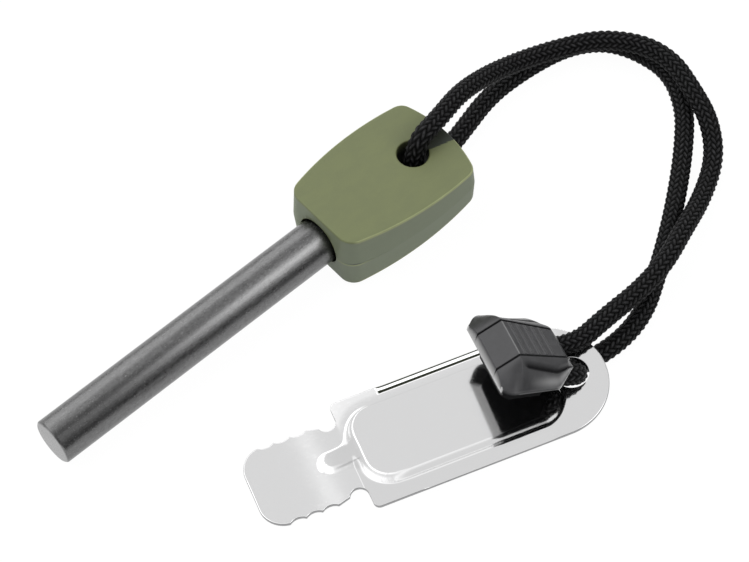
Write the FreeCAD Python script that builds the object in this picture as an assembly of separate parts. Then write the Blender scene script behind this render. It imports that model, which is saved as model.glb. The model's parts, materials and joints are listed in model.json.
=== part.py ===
import FreeCAD, Part
import math
import os

# A ferro rod fire starter. A round ferrocerium rod is seated in a moulded handle of two shells,
# a pressed steel striker hangs on a braided lanyard, and a two-shell clip holds both ends of the lanyard.
# All lengths are in millimetres and all angles in degrees.

Vec = FreeCAD.Vector

# Rod
ROD_DIAMETER = 9.5
ROD_EXPOSED = 67.1
ROD_TIP_CHAMFER = 0.4
ROD_NECK_LEAD = 0.3
ROD_NECK_DEPTH = 0.25
ROD_SEAT_CLEARANCE = 0.05
ROD_END_GAP = 0.3
ROD_END_WEB = 4.6
ROD_PITCH = 3.0

# Handle, at its parting plane, which holds the rod's axis
HANDLE_LENGTH = 30.95
HANDLE_REAR_WIDTH = 22.3
HANDLE_WIDTH_GROWTH = 4.5
HANDLE_SIDE_BULGE = 1.84
HANDLE_REAR_BULGE = 2.22
HANDLE_FRONT_THICKNESS = 15.0
HANDLE_REAR_THICKNESS = 9.4
HANDLE_SIDE_DRAFT = 0.5
HANDLE_FRONT_DRAFT = 0.1
HANDLE_FRONT_CORNER = 2.5
HANDLE_REAR_CORNER = 3.0
HANDLE_TOP_FILLET = 0.6
HANDLE_SEAM_CHAMFER = 0.15
HANDLE_COLLAR_GAP = 0.65
HANDLE_COLLAR_DEPTH = 1.5

# Lanyard bore through the handle, from the rear end of its straight sides
BORE_FROM_REAR = 6.85
BORE_DIAMETER = 6.4
BORE_LIP = 0.8

# Pins of the upper shell and sockets of the lower shell
HANDLE_PIN_DIAMETER = 2.0
HANDLE_PIN_LENGTH = 2.6
HANDLE_PIN_FRONT_DISTANCE = 6.0
HANDLE_PIN_FRONT_WEB = 1.3
HANDLE_PIN_REAR_WEB = 3.1
PIN_CLEARANCE = 0.05
SOCKET_EXTRA_DEPTH = 0.2

# Striker, from its shoulders towards its rounded end and, behind them, its tab
SHEET_THICKNESS = 0.8
STRIKER_BODY_LENGTH = 52.0
STRIKER_BODY_WIDTH = 24.2
STRIKER_SHOULDER_CORNER = 1.2
STRIKER_HOLE_FROM_END = 6.8
STRIKER_HOLE_DIAMETER = 6.9
TAB_LENGTH = 20.2
TAB_WIDTH = 17.4
TAB_END_STRAIGHT = 7.6
NECK_WIDTH = 13.6
NECK_LENGTH = 3.6
NECK_MOUTH_WIDTH = 17.2
NECK_TAB_WIDTH = 16.0
SCALLOP_FIRST_DISTANCE = 6.1
SCALLOP_PITCH = 3.25
SCALLOP_DEPTH = 0.55
SCALLOP_COUNT = 3
RIM_WIDTH = 1.3
RIM_DROP = 0.2
RIM_START = 9.5
RIM_LENGTH = 28.0

# Raised panel and bead of the striker
PANEL_START = 0.9
PANEL_TO_HOLE = 0.2
PANEL_FOOT_WIDTH = 17.1
PANEL_HEIGHT = 2.0
PANEL_SLOPE_WIDTH = 1.0
PANEL_CORNER = 5.5
BEAD_END = 6.2
BEAD_FOOT_WIDTH = 4.2
BEAD_HEIGHT = 1.5
BEAD_SLOPE_WIDTH = 0.9
BEAD_CORNER = 2.0
BEAD_FLARE_WIDTH = 6.6
BEAD_FLARE_LENGTH = 1.5

# Striker's place in the scene of the handle's bore: the cord's hole, and its lie
STRIKER_HOLE_X = -6.9149
STRIKER_HOLE_Y = -53.0248
STRIKER_YAW = -19.35
STRIKER_PITCH = 3.63

# Cord and the grooves that hold its ends
CORD_DIAMETER = 4.0
GROOVE_CLEARANCE = 0.08
GROOVE_SPACING = 7.2
GROOVE_DEPTH = 5.3
CORD_END_GAP = 0.3
CORD_STRAIGHT_AT_CLIP = 4.2

# Clip, from its closed edge to its mouth, about the middle plane of its rim
CLIP_LENGTH = 17.0
CLIP_CLOSED_WIDTH = 16.6
CLIP_WIDE_WIDTH = 19.9
CLIP_WIDE_DISTANCE = 2.5
CLIP_SHOULDER_WIDTH = 18.9
CLIP_SHOULDER_DISTANCE = 11.9
CLIP_MOUTH_WIDTH = 8.2
CLIP_RIDGE_DISTANCE = 3.8
CLIP_RIDGE_HEIGHT = 4.9
CLIP_RIDGE_WIDTH = 9.8
CLIP_CLOSED_HEIGHT = 1.45
CLIP_LIP_DISTANCE = 15.0
CLIP_LIP_HEIGHT = 2.4
CLIP_LIP_WIDTH = 8.0
CLIP_RIM_THICKNESS = 0.5
CLIP_SKIRT_INSET = 2.1
CLIP_SEAM_DROP = 2.8
CLIP_BASE_DROP = 5.4
CLIP_BASE_INSET = 1.1
CLIP_RIB_COUNT = 5
CLIP_RIB_PITCH = 1.7
CLIP_RIB_FIRST = 1.6
CLIP_RIB_WIDTH = 0.7
CLIP_RIB_HEIGHT = 0.25
CLIP_END_GROOVE_WIDTH = 0.35
CLIP_END_GROOVE_DEPTH = 0.4
CLIP_PIN_DIAMETER = 1.4
CLIP_PIN_LENGTH = 1.4
CLIP_PIN_DISTANCE = 6.5

# Clip's place in the scene of the handle's bore, and its lie
CLIP_X = -23.04
CLIP_Y = -45.42
CLIP_Z = 18.0
CLIP_YAW = -24.0
CLIP_DROP = 19.0
CLIP_ROLL = -10.0

# How far a cutter reaches past the face it cuts
OVERRUN = 2.0

# The cord's route from the clip to the handle's bore, over the handle and over the other strand
ROUTE_OUT = [
    (5.5, -49.4, 7.4),
    (15.5, -48.9, 6.5),
    (24.0, -47.3, 6.5),
    (32.1, -43.9, 5.6),
    (42.0, -39.6, 2.3),
    (51.2, -34.2, 2.0),
    (55.9, -27.5, 4.3),
    (57.7, -20.2, 6.0),
    (59.3, -13.3, 6.6),
    (57.9, -6.1, 6.6),
    (52.1, 0.8, 6.5),
    (43.7, 4.7, 6.5),
    (35.2, 6.6, 8.0),
    (25.3, 6.1, 12.2),
    (16.0, 4.2, 16.2),
    (8.6, 1.9, 17.2),
    (0.0, 0.0, 17.6),
]

# The cord's route back, down through the bore, along the floor and up through the striker's hole
ROUTE_BACK = [
    (0.0, 0.0, 2.0),
    (9.0, 2.1, 2.0),
    (17.5, 4.4, 2.0),
    (27.6, 7.4, 2.0),
    (38.4, 7.5, 2.0),
    (48.2, 6.1, 2.0),
    (55.1, 2.1, 2.0),
    (58.6, -4.4, 2.0),
    (59.7, -12.7, 2.0),
    (55.4, -21.3, 2.0),
    (48.3, -28.1, 2.0),
    (40.5, -34.4, 2.0),
    (31.8, -40.7, 2.0),
    (23.2, -46.2, 2.0),
    (14.0, -51.7, 2.0),
    (4.0, -53.2, 2.0),
    (-6.86, -50.83, 2.0),
]

# An arc takes this share of the shorter of its two runs
ARC_RUN_SHARE = 0.45


def line(a, b):
    return Part.LineSegment(a, b).toShape()


def arc(a, b, c):
    return Part.Arc(a, b, c).toShape()


def cylinder(diameter, length, start, direction):
    return Part.makeCylinder(diameter / 2, length, start, direction)


def closed_wire(points):
    edges = []
    for a, b in zip(points, points[1:] + points[:1]):
        edges.append(line(a, b))
    return Part.Wire(edges)


def prism(points, direction):
    return Part.Face(closed_wire(points)).extrude(direction)


def edges_on(shape, test):
    """The edges whose ends and middle all pass the test."""
    found = []
    for edge in shape.Edges:
        middle = edge.valueAt((edge.FirstParameter + edge.LastParameter) / 2)
        ends = [vertex.Point for vertex in edge.Vertexes]
        if all(test(point) for point in ends + [middle]):
            found.append(edge)
    return found


def near(value, target):
    return abs(value - target) < Precision


Precision = 1e-4


# Sizes that follow from others
rod_radius = ROD_DIAMETER / 2
bore_distance = HANDLE_LENGTH - BORE_FROM_REAR
rod_seated = bore_distance - BORE_DIAMETER / 2 - ROD_END_GAP - ROD_END_WEB
pin_front_offset = rod_radius + ROD_SEAT_CLEARANCE + HANDLE_PIN_DIAMETER / 2 + HANDLE_PIN_FRONT_WEB
pin_rear_offset = BORE_DIAMETER / 2 + HANDLE_PIN_DIAMETER / 2 + HANDLE_PIN_REAR_WEB
hole_distance = STRIKER_BODY_LENGTH - STRIKER_HOLE_FROM_END
panel_end = hole_distance - STRIKER_HOLE_DIAMETER / 2 - PANEL_TO_HOLE

# Places of the pieces
pitch_sin = math.sin(math.radians(ROD_PITCH))
pitch_cos = math.cos(math.radians(ROD_PITCH))
tip_height = rod_radius * pitch_cos - ROD_TIP_CHAMFER * pitch_sin
bore_height = tip_height + (ROD_EXPOSED + bore_distance) * pitch_sin
handle_place = FreeCAD.Placement(
    Vec(-bore_distance * pitch_cos, 0, bore_height - bore_distance * pitch_sin),
    FreeCAD.Rotation(0, -ROD_PITCH, 0),
)

striker_rise = math.radians(STRIKER_PITCH)
shoulder_height = TAB_LENGTH * math.sin(striker_rise) + SHEET_THICKNESS * math.cos(striker_rise)
striker_turn = FreeCAD.Rotation(STRIKER_YAW, -STRIKER_PITCH, 0)
hole_reach = striker_turn.multVec(Vec(hole_distance, 0, -SHEET_THICKNESS / 2))
striker_place = FreeCAD.Placement(
    Vec(STRIKER_HOLE_X - hole_reach.x, STRIKER_HOLE_Y - hole_reach.y, shoulder_height),
    striker_turn,
)

clip_place = FreeCAD.Placement(
    Vec(CLIP_X, CLIP_Y, CLIP_Z),
    FreeCAD.Rotation(CLIP_YAW, CLIP_DROP, CLIP_ROLL),
)


# Handle: both shells are drafted away from the parting plane and taper towards the rear
def handle_outline(side_inset, front_inset, height):
    rear = HANDLE_REAR_WIDTH / 2 - side_inset
    front = rear - HANDLE_WIDTH_GROWTH / 2
    bulged = (front + rear) / 2 + HANDLE_SIDE_BULGE
    start = front_inset
    end = HANDLE_LENGTH - side_inset
    middle = (start + end) / 2
    far_front = Vec(start, front, height)
    far_rear = Vec(end, rear, height)
    near_front = Vec(start, -front, height)
    near_rear = Vec(end, -rear, height)
    return Part.Wire([
        line(near_front, far_front),
        arc(far_front, Vec(middle, bulged, height), far_rear),
        arc(far_rear, Vec(end + HANDLE_REAR_BULGE, 0, height), near_rear),
        arc(near_rear, Vec(middle, -bulged, height), near_front),
    ])


def handle_top(x):
    """Height of the top face above the parting plane, at a distance from the front face."""
    fall = (HANDLE_FRONT_THICKNESS - HANDLE_REAR_THICKNESS) / 2
    return HANDLE_FRONT_THICKNESS / 2 - fall * x / HANDLE_LENGTH


def handle_half():
    """The upper half without pins, its flat face on the parting plane."""
    full_height = HANDLE_FRONT_THICKNESS / 2
    body = Part.makeLoft([
        handle_outline(0, 0, 0),
        handle_outline(HANDLE_SIDE_DRAFT, HANDLE_FRONT_DRAFT, full_height),
    ], True, True)

    def upright(edge):
        ends = [vertex.Point for vertex in edge.Vertexes]
        return len(ends) == 2 and near(abs(ends[0].z - ends[1].z), full_height)

    posts = [edge for edge in body.Edges if upright(edge)]
    front_posts = [edge for edge in posts if edge.Vertexes[0].X < HANDLE_LENGTH / 2]
    rear_posts = [edge for edge in posts if edge.Vertexes[0].X > HANDLE_LENGTH / 2]
    body = body.makeFillet(HANDLE_FRONT_CORNER, front_posts)
    rear_posts = [edge for edge in body.Edges if upright(edge) and any(
        edge.Vertexes[0].Point.distanceToPoint(post.Vertexes[0].Point) < Precision or
        edge.Vertexes[0].Point.distanceToPoint(post.Vertexes[1].Point) < Precision
        for post in rear_posts)]
    body = body.makeFillet(HANDLE_REAR_CORNER, rear_posts)

    start = -OVERRUN
    end = HANDLE_LENGTH + HANDLE_REAR_BULGE + OVERRUN
    width = HANDLE_REAR_WIDTH + OVERRUN + OVERRUN
    wedge = prism([
        Vec(start, -width / 2, 0),
        Vec(end, -width / 2, 0),
        Vec(end, -width / 2, handle_top(end)),
        Vec(start, -width / 2, handle_top(start)),
    ], Vec(0, width, 0))
    body = body.common(wedge).Solids[0]

    rim = edges_on(body, lambda point: near(point.z, handle_top(point.x)))
    body = body.makeFillet(HANDLE_TOP_FILLET, rim)
    seam = edges_on(body, lambda point: near(point.z, 0))
    body = body.makeChamfer(HANDLE_SEAM_CHAMFER, seam)

    bore = cylinder(BORE_DIAMETER, HANDLE_FRONT_THICKNESS, Vec(bore_distance, 0, -OVERRUN), Vec(0, 0, 1))
    body = body.cut(bore).Solids[0]
    lip = edges_on(body, lambda point: near(point.z, handle_top(point.x))
                   and math.hypot(point.x - bore_distance, point.y) < BORE_DIAMETER)
    body = body.makeFillet(BORE_LIP, lip)

    seat = cylinder(ROD_DIAMETER + 2 * ROD_SEAT_CLEARANCE, rod_seated + ROD_END_GAP + OVERRUN,
                    Vec(-OVERRUN, 0, 0), Vec(1, 0, 0))
    collar = cylinder(ROD_DIAMETER + 2 * HANDLE_COLLAR_GAP, HANDLE_COLLAR_DEPTH + OVERRUN,
                      Vec(-OVERRUN, 0, 0), Vec(1, 0, 0))
    return body.cut(seat.fuse(collar)).Solids[0]


handle_pin_places = [
    (HANDLE_PIN_FRONT_DISTANCE, pin_front_offset),
    (HANDLE_PIN_FRONT_DISTANCE, -pin_front_offset),
    (bore_distance, pin_rear_offset),
    (bore_distance, -pin_rear_offset),
]


def handle_upper_shell():
    shell = handle_half()
    for x, y in handle_pin_places:
        pin = cylinder(HANDLE_PIN_DIAMETER, HANDLE_PIN_LENGTH + OVERRUN, Vec(x, y, -HANDLE_PIN_LENGTH), Vec(0, 0, 1))
        shell = shell.fuse(pin)
    return shell.removeSplitter()


def handle_lower_shell():
    shell = handle_half().mirror(Vec(0, 0, 0), Vec(0, 0, 1))
    depth = HANDLE_PIN_LENGTH + SOCKET_EXTRA_DEPTH
    for x, y in handle_pin_places:
        socket = cylinder(HANDLE_PIN_DIAMETER + 2 * PIN_CLEARANCE, depth + OVERRUN, Vec(x, y, -depth), Vec(0, 0, 1))
        shell = shell.cut(socket)
    return shell


def ferro_rod():
    rod = cylinder(ROD_DIAMETER, ROD_EXPOSED + rod_seated, Vec(-ROD_EXPOSED, 0, 0), Vec(1, 0, 0))
    tip = edges_on(rod, lambda point: near(point.x, -ROD_EXPOSED))
    rod = rod.makeChamfer(ROD_TIP_CHAMFER, tip)
    # A shallow neck at the handle's collar, where the rod's coat ends
    neck_start = Vec(-ROD_NECK_LEAD, 0, 0)
    neck_length = ROD_NECK_LEAD + HANDLE_COLLAR_DEPTH
    around = cylinder(ROD_DIAMETER + OVERRUN, neck_length, neck_start, Vec(1, 0, 0))
    core = cylinder(ROD_DIAMETER - 2 * ROD_NECK_DEPTH, neck_length, neck_start, Vec(1, 0, 0))
    return rod.cut(around.cut(core))


# Striker: one sheet, pressed up into a panel and a bead, with matching hollows beneath them
def striker_half_outline(side):
    """Edges from the tab's end to the rounded end, on one side of the middle line."""
    half_tab = side * TAB_WIDTH / 2
    half_neck_tab = side * NECK_TAB_WIDTH / 2
    half_mouth = side * NECK_MOUTH_WIDTH / 2
    half_body = side * STRIKER_BODY_WIDTH / 2
    corner = STRIKER_SHOULDER_CORNER
    end_radius = (TAB_WIDTH - TAB_END_STRAIGHT) / 2
    last_tip = SCALLOP_FIRST_DISTANCE + SCALLOP_COUNT * SCALLOP_PITCH
    bend = end_radius * (1 - math.sqrt(0.5))
    edges = [arc(
        Vec(-TAB_LENGTH, side * TAB_END_STRAIGHT / 2, 0),
        Vec(-TAB_LENGTH + bend, half_tab - side * bend, 0),
        Vec(-last_tip, half_tab, 0),
    )]
    for index in range(SCALLOP_COUNT):
        tip = -last_tip + index * SCALLOP_PITCH
        edges.append(arc(
            Vec(tip, half_tab, 0),
            Vec(tip + SCALLOP_PITCH / 2, half_tab - side * SCALLOP_DEPTH, 0),
            Vec(tip + SCALLOP_PITCH, half_tab, 0),
        ))
    edges.append(line(Vec(-SCALLOP_FIRST_DISTANCE, half_tab, 0), Vec(-NECK_LENGTH, half_neck_tab, 0)))
    edges.append(arc(
        Vec(-NECK_LENGTH, half_neck_tab, 0),
        Vec(-NECK_LENGTH / 2, side * NECK_WIDTH / 2, 0),
        Vec(0, half_mouth, 0),
    ))
    turn = corner * (1 - math.sqrt(0.5))
    edges.append(line(Vec(0, half_mouth, 0), Vec(0, half_body - side * corner, 0)))
    edges.append(arc(
        Vec(0, half_body - side * corner, 0),
        Vec(turn, half_body - side * turn, 0),
        Vec(corner, half_body, 0),
    ))
    round_start = STRIKER_BODY_LENGTH - STRIKER_BODY_WIDTH / 2
    edges.append(line(Vec(corner, half_body, 0), Vec(round_start, half_body, 0)))
    return edges


def body_round_end():
    """The half circle of the rounded end."""
    centre = STRIKER_BODY_LENGTH - STRIKER_BODY_WIDTH / 2
    radius = STRIKER_BODY_WIDTH / 2
    return arc(Vec(centre, radius, 0), Vec(centre + radius, 0, 0), Vec(centre, -radius, 0))


def rounded_box_wire(x0, x1, width, corner, height):
    """A rectangle with round corners on a level plane, centred on the middle line."""
    half = width / 2
    turn = corner * (1 - math.sqrt(0.5))
    return Part.Wire([
        line(Vec(x0 + corner, -half, height), Vec(x1 - corner, -half, height)),
        arc(Vec(x1 - corner, -half, height), Vec(x1 - turn, -half + turn, height), Vec(x1, -half + corner, height)),
        line(Vec(x1, -half + corner, height), Vec(x1, half - corner, height)),
        arc(Vec(x1, half - corner, height), Vec(x1 - turn, half - turn, height), Vec(x1 - corner, half, height)),
        line(Vec(x1 - corner, half, height), Vec(x0 + corner, half, height)),
        arc(Vec(x0 + corner, half, height), Vec(x0 + turn, half - turn, height), Vec(x0, half - corner, height)),
        line(Vec(x0, half - corner, height), Vec(x0, -half + corner, height)),
        arc(Vec(x0, -half + corner, height), Vec(x0 + turn, -half + turn, height), Vec(x0 + corner, -half, height)),
    ])


def pressing(x0, x1, width, corner, height, slope_width):
    """The boss above the sheet and the hollow beneath it, one sheet thickness apart."""
    slope = math.atan2(height, slope_width)
    wall = SHEET_THICKNESS * math.tan(slope / 2)

    def step(inset, level):
        return rounded_box_wire(x0 + inset, x1 - inset, width - 2 * inset, corner - inset, level)

    boss = Part.makeLoft([step(0, 0), step(slope_width, height)], True, True)
    hollow = Part.makeLoft([
        step(wall, -SHEET_THICKNESS),
        step(wall + slope_width, height - SHEET_THICKNESS),
    ], True, True)
    return boss, hollow


def rim_cut():
    """What the two low bands take off the sheet, along its long edges. They stiffen the edges."""
    outer = STRIKER_BODY_WIDTH / 2
    depth = RIM_DROP + OVERRUN
    width = RIM_WIDTH + OVERRUN
    corners = [Vec(RIM_START, outer - RIM_WIDTH, -RIM_DROP), Vec(RIM_START, -outer - OVERRUN, -RIM_DROP)]
    return [Part.makeBox(RIM_LENGTH, width, depth, corner) for corner in corners]


def striker_plate():
    end_line = line(Vec(-TAB_LENGTH, -TAB_END_STRAIGHT / 2, 0), Vec(-TAB_LENGTH, TAB_END_STRAIGHT / 2, 0))
    edges = striker_half_outline(1) + striker_half_outline(-1) + [body_round_end(), end_line]
    outline = Part.Wire(Part.__sortEdges__(edges))
    sheet = Part.Face(outline).extrude(Vec(0, 0, -SHEET_THICKNESS))
    bead_into_panel = PANEL_START + PANEL_SLOPE_WIDTH + BEAD_CORNER
    panel = pressing(PANEL_START, panel_end, PANEL_FOOT_WIDTH, PANEL_CORNER, PANEL_HEIGHT, PANEL_SLOPE_WIDTH)
    bead = pressing(-BEAD_END, bead_into_panel, BEAD_FOOT_WIDTH, BEAD_CORNER, BEAD_HEIGHT, BEAD_SLOPE_WIDTH)
    flare = pressing(PANEL_START - BEAD_FLARE_LENGTH, bead_into_panel, BEAD_FLARE_WIDTH, BEAD_CORNER,
                     BEAD_HEIGHT, BEAD_SLOPE_WIDTH)
    plate = sheet.fuse([panel[0], bead[0], flare[0]])
    plate = plate.cut([panel[1], bead[1], flare[1]] + rim_cut())
    hole = cylinder(STRIKER_HOLE_DIAMETER, PANEL_HEIGHT + SHEET_THICKNESS + OVERRUN,
                    Vec(hole_distance, 0, -SHEET_THICKNESS - OVERRUN / 2), Vec(0, 0, 1))
    return plate.cut(hole).removeSplitter()


# Clip: a faceted cap over a drawn-in skirt, and a base below the seam that holds the cord's ends
clip_rim = [
    (0, CLIP_CLOSED_WIDTH / 2),
    (CLIP_WIDE_DISTANCE, CLIP_WIDE_WIDTH / 2),
    (CLIP_SHOULDER_DISTANCE, CLIP_SHOULDER_WIDTH / 2),
    (CLIP_LENGTH, CLIP_MOUTH_WIDTH / 2),
]


def clip_rim_wire(inset, height):
    far_side = [Vec(x, y, height) for x, y in clip_rim]
    near_side = [Vec(x, -y, height) for x, y in reversed(clip_rim)]
    wire = closed_wire(far_side + near_side)
    if inset == 0:
        return wire
    return wire.makeOffset2D(-inset, 2)


def clip_roof(x):
    """Height of the middle band above the rim."""
    if x <= CLIP_RIDGE_DISTANCE:
        share = x / CLIP_RIDGE_DISTANCE
        return CLIP_CLOSED_HEIGHT + (CLIP_RIDGE_HEIGHT - CLIP_CLOSED_HEIGHT) * share
    share = (x - CLIP_RIDGE_DISTANCE) / (CLIP_LIP_DISTANCE - CLIP_RIDGE_DISTANCE)
    return CLIP_RIDGE_HEIGHT + (CLIP_LIP_HEIGHT - CLIP_RIDGE_HEIGHT) * share


def clip_cap():
    """The closed faceted roof, from the rim up to the ridge."""
    def rim_point(index, side):
        x, y = clip_rim[index]
        return Vec(x, side * y, 0)

    def roof_point(x, width, side):
        return Vec(x, side * width / 2, clip_roof(x))

    faces = []

    def add(points):
        faces.append(Part.Face(closed_wire(points)))

    closed = {}
    ridge = {}
    lip = {}
    for side in (1, -1):
        closed[side] = roof_point(0, CLIP_RIDGE_WIDTH, side)
        ridge[side] = roof_point(CLIP_RIDGE_DISTANCE, CLIP_RIDGE_WIDTH, side)
        lip[side] = roof_point(CLIP_LIP_DISTANCE, CLIP_LIP_WIDTH, side)
        add([closed[side], rim_point(0, side), rim_point(1, side)])
        add([closed[side], rim_point(1, side), ridge[side]])
        add([ridge[side], rim_point(1, side), rim_point(2, side)])
        add([ridge[side], rim_point(2, side), lip[side]])
        add([lip[side], rim_point(2, side), rim_point(3, side)])
    add([rim_point(0, 1), rim_point(0, -1), closed[-1], closed[1]])
    add([closed[1], closed[-1], ridge[-1], ridge[1]])
    add([ridge[1], ridge[-1], lip[-1], lip[1]])
    add([lip[1], lip[-1], rim_point(3, -1), rim_point(3, 1)])
    faces.append(Part.Face(clip_rim_wire(0, 0)))
    solid = Part.Solid(Part.Shell(faces))
    if solid.Volume < 0:
        solid.reverse()
    return solid


def clip_ribs():
    """Grip ribs across the sloping panel between the ridge and the mouth."""
    run = CLIP_LIP_DISTANCE - CLIP_RIDGE_DISTANCE
    fall = CLIP_RIDGE_HEIGHT - CLIP_LIP_HEIGHT
    along = Vec(run, 0, -fall).normalize()
    outward = Vec(fall, 0, run).normalize()
    width = CLIP_LIP_WIDTH - 2 * CLIP_END_GROOVE_WIDTH
    ridge = Vec(CLIP_RIDGE_DISTANCE, -width / 2, CLIP_RIDGE_HEIGHT)
    ribs = []
    for index in range(CLIP_RIB_COUNT):
        centre = ridge + along * (CLIP_RIB_FIRST + index * CLIP_RIB_PITCH)
        foot = CLIP_RIB_WIDTH / 2
        crown = foot / 2
        ribs.append(prism([
            centre - along * foot - outward * CLIP_RIB_HEIGHT,
            centre + along * foot - outward * CLIP_RIB_HEIGHT,
            centre + along * foot,
            centre + along * crown + outward * CLIP_RIB_HEIGHT,
            centre - along * crown + outward * CLIP_RIB_HEIGHT,
            centre - along * foot,
        ], Vec(0, width, 0)))
    return ribs


def clip_end_grooves():
    """Narrow grooves at both ends of the middle band, where it meets the wings."""
    grooves = []
    for side in (1, -1):
        y = side * (CLIP_LIP_WIDTH / 2) - CLIP_END_GROOVE_WIDTH / 2
        top = CLIP_RIDGE_HEIGHT + OVERRUN
        grooves.append(prism([
            Vec(0, y, clip_roof(0) - CLIP_END_GROOVE_DEPTH),
            Vec(CLIP_RIDGE_DISTANCE, y, CLIP_RIDGE_HEIGHT - CLIP_END_GROOVE_DEPTH),
            Vec(CLIP_LIP_DISTANCE, y, CLIP_LIP_HEIGHT - CLIP_END_GROOVE_DEPTH),
            Vec(CLIP_LIP_DISTANCE, y, top),
            Vec(0, y, top),
        ], Vec(0, CLIP_END_GROOVE_WIDTH, 0)))
    return grooves


def clip_cord_grooves():
    grooves = []
    for side in (1, -1):
        start = Vec(CLIP_LENGTH - GROOVE_DEPTH, side * GROOVE_SPACING / 2, -CLIP_SEAM_DROP)
        grooves.append(cylinder(CORD_DIAMETER + 2 * GROOVE_CLEARANCE, GROOVE_DEPTH + OVERRUN, start, Vec(1, 0, 0)))
    return grooves


clip_pin_offset = CLIP_RIDGE_WIDTH / 2


def clip_upper_shell():
    rim = Part.Face(clip_rim_wire(0, 0)).extrude(Vec(0, 0, -CLIP_RIM_THICKNESS))
    skirt = Part.Face(clip_rim_wire(CLIP_SKIRT_INSET, 0)).extrude(Vec(0, 0, -CLIP_SEAM_DROP))
    shell = clip_cap().fuse([rim, skirt] + clip_ribs())
    shell = shell.cut(clip_end_grooves() + clip_cord_grooves())
    for side in (1, -1):
        foot = Vec(CLIP_PIN_DISTANCE, side * clip_pin_offset, -CLIP_SEAM_DROP - CLIP_PIN_LENGTH)
        shell = shell.fuse(cylinder(CLIP_PIN_DIAMETER, CLIP_PIN_LENGTH + CLIP_RIM_THICKNESS, foot, Vec(0, 0, 1)))
    return shell.removeSplitter()


def clip_lower_shell():
    shell = Part.makeLoft([
        clip_rim_wire(CLIP_SKIRT_INSET, -CLIP_SEAM_DROP),
        clip_rim_wire(CLIP_SKIRT_INSET + CLIP_BASE_INSET, -CLIP_BASE_DROP),
    ], True, True)
    depth = CLIP_PIN_LENGTH + SOCKET_EXTRA_DEPTH
    for side in (1, -1):
        foot = Vec(CLIP_PIN_DISTANCE, side * clip_pin_offset, -CLIP_SEAM_DROP - depth)
        shell = shell.cut(cylinder(CLIP_PIN_DIAMETER + 2 * PIN_CLEARANCE, depth + OVERRUN, foot, Vec(0, 0, 1)))
    return shell.cut(clip_cord_grooves())


# Cord: straight runs joined by tangent arcs
def clip_cord_points(side):
    """Where the cord ends in the clip, and the point it turns at outside the mouth."""
    level = -CLIP_SEAM_DROP
    end = Vec(CLIP_LENGTH - GROOVE_DEPTH + CORD_END_GAP, side * GROOVE_SPACING / 2, level)
    outside = Vec(CLIP_LENGTH + CORD_STRAIGHT_AT_CLIP, side * GROOVE_SPACING / 2, level)
    return clip_place.multVec(end), clip_place.multVec(outside)


def cord_route():
    far_end, far_turn = clip_cord_points(1)
    near_end, near_turn = clip_cord_points(-1)
    listed = [Vec(*point) for point in ROUTE_OUT + ROUTE_BACK]
    return [far_end, far_turn] + listed + [near_turn, near_end]


def rounded_path(points):
    """A wire of straight runs and tangent arcs, with its length and its arcs' radii."""
    edges = []
    radii = []
    start = points[0]
    for before, corner, after in zip(points, points[1:], points[2:]):
        back = before - corner
        ahead = after - corner
        turn = math.pi - back.getAngle(ahead)
        reach = ARC_RUN_SHARE * min(back.Length, ahead.Length)
        radii.append(reach / math.tan(turn / 2))
        back.normalize()
        ahead.normalize()
        first = corner + back * reach
        last = corner + ahead * reach
        inward = back + ahead
        inward.normalize()
        depth = radii[-1] / math.cos(turn / 2) - radii[-1]
        edges.append(line(start, first))
        edges.append(arc(first, corner + inward * depth, last))
        start = last
    edges.append(line(start, points[-1]))
    wire = Part.Wire(edges)
    return wire, wire.Length, radii


def lanyard_cord():
    points = cord_route()
    wire, length, radii = rounded_path(points)
    heading = points[1] - points[0]
    section = Part.Wire([Part.makeCircle(CORD_DIAMETER / 2, points[0], heading)])
    tube = wire.makePipeShell([section], True, False)
    expected = math.pi * CORD_DIAMETER ** 2 / 4 * length
    print("cord length", round(length, 2), "volume ratio", round(tube.Volume / expected, 5))
    print("cord radii", [round(radius, 1) for radius in radii])
    print("cord runs", [round((b - a).Length, 1) for a, b in zip(points, points[1:])])
    return tube


def placed(shape, place):
    moved = shape.copy()
    moved.Placement = place.multiply(shape.Placement)
    return moved


def build():
    pieces = {
        "ferro_rod": placed(ferro_rod(), handle_place),
        "handle_upper_shell": placed(handle_upper_shell(), handle_place),
        "handle_lower_shell": placed(handle_lower_shell(), handle_place),
        "striker_plate": placed(striker_plate(), striker_place),
        "clip_upper_shell": placed(clip_upper_shell(), clip_place),
        "clip_lower_shell": placed(clip_lower_shell(), clip_place),
        "lanyard_cord": lanyard_cord(),
    }
    # The origin is the middle of the box of the rod, the handle and the striker, on the floor
    box = FreeCAD.BoundBox()
    for name in ("ferro_rod", "handle_upper_shell", "handle_lower_shell", "striker_plate"):
        box.add(pieces[name].optimalBoundingBox(False))
    shift = Vec(-box.Center.x, -box.Center.y, -box.ZMin)
    for piece in pieces.values():
        piece.translate(shift)
    return pieces, shift


pieces, shift = build()
os.makedirs("parts", exist_ok=True)
for name, piece in pieces.items():
    piece.exportStep("parts/" + name + ".step")
    extent = piece.BoundBox
    print(name, "solids", len(piece.Solids), "valid", piece.isValid(), "volume", round(piece.Volume, 1),
          "z", round(extent.ZMin, 3), round(extent.ZMax, 3))

bore = handle_place.multVec(Vec(bore_distance, 0, 0)) + shift
hole = striker_place.multVec(Vec(hole_distance, 0, -SHEET_THICKNESS / 2)) + shift
tip = handle_place.multVec(Vec(-ROD_EXPOSED, 0, 0)) + shift
front = handle_place.multVec(Vec(0, 0, 0)) + shift
print("shift", tuple(round(value, 4) for value in shift))
print("bore", tuple(round(value, 4) for value in bore))
print("hole", tuple(round(value, 4) for value in hole))
print("rod tip", tuple(round(value, 4) for value in tip))
print("handle front", tuple(round(value, 4) for value in front))
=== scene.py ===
import json
import math

import bmesh
import bpy
import numpy as np
from mathutils import Matrix, Vector


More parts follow.
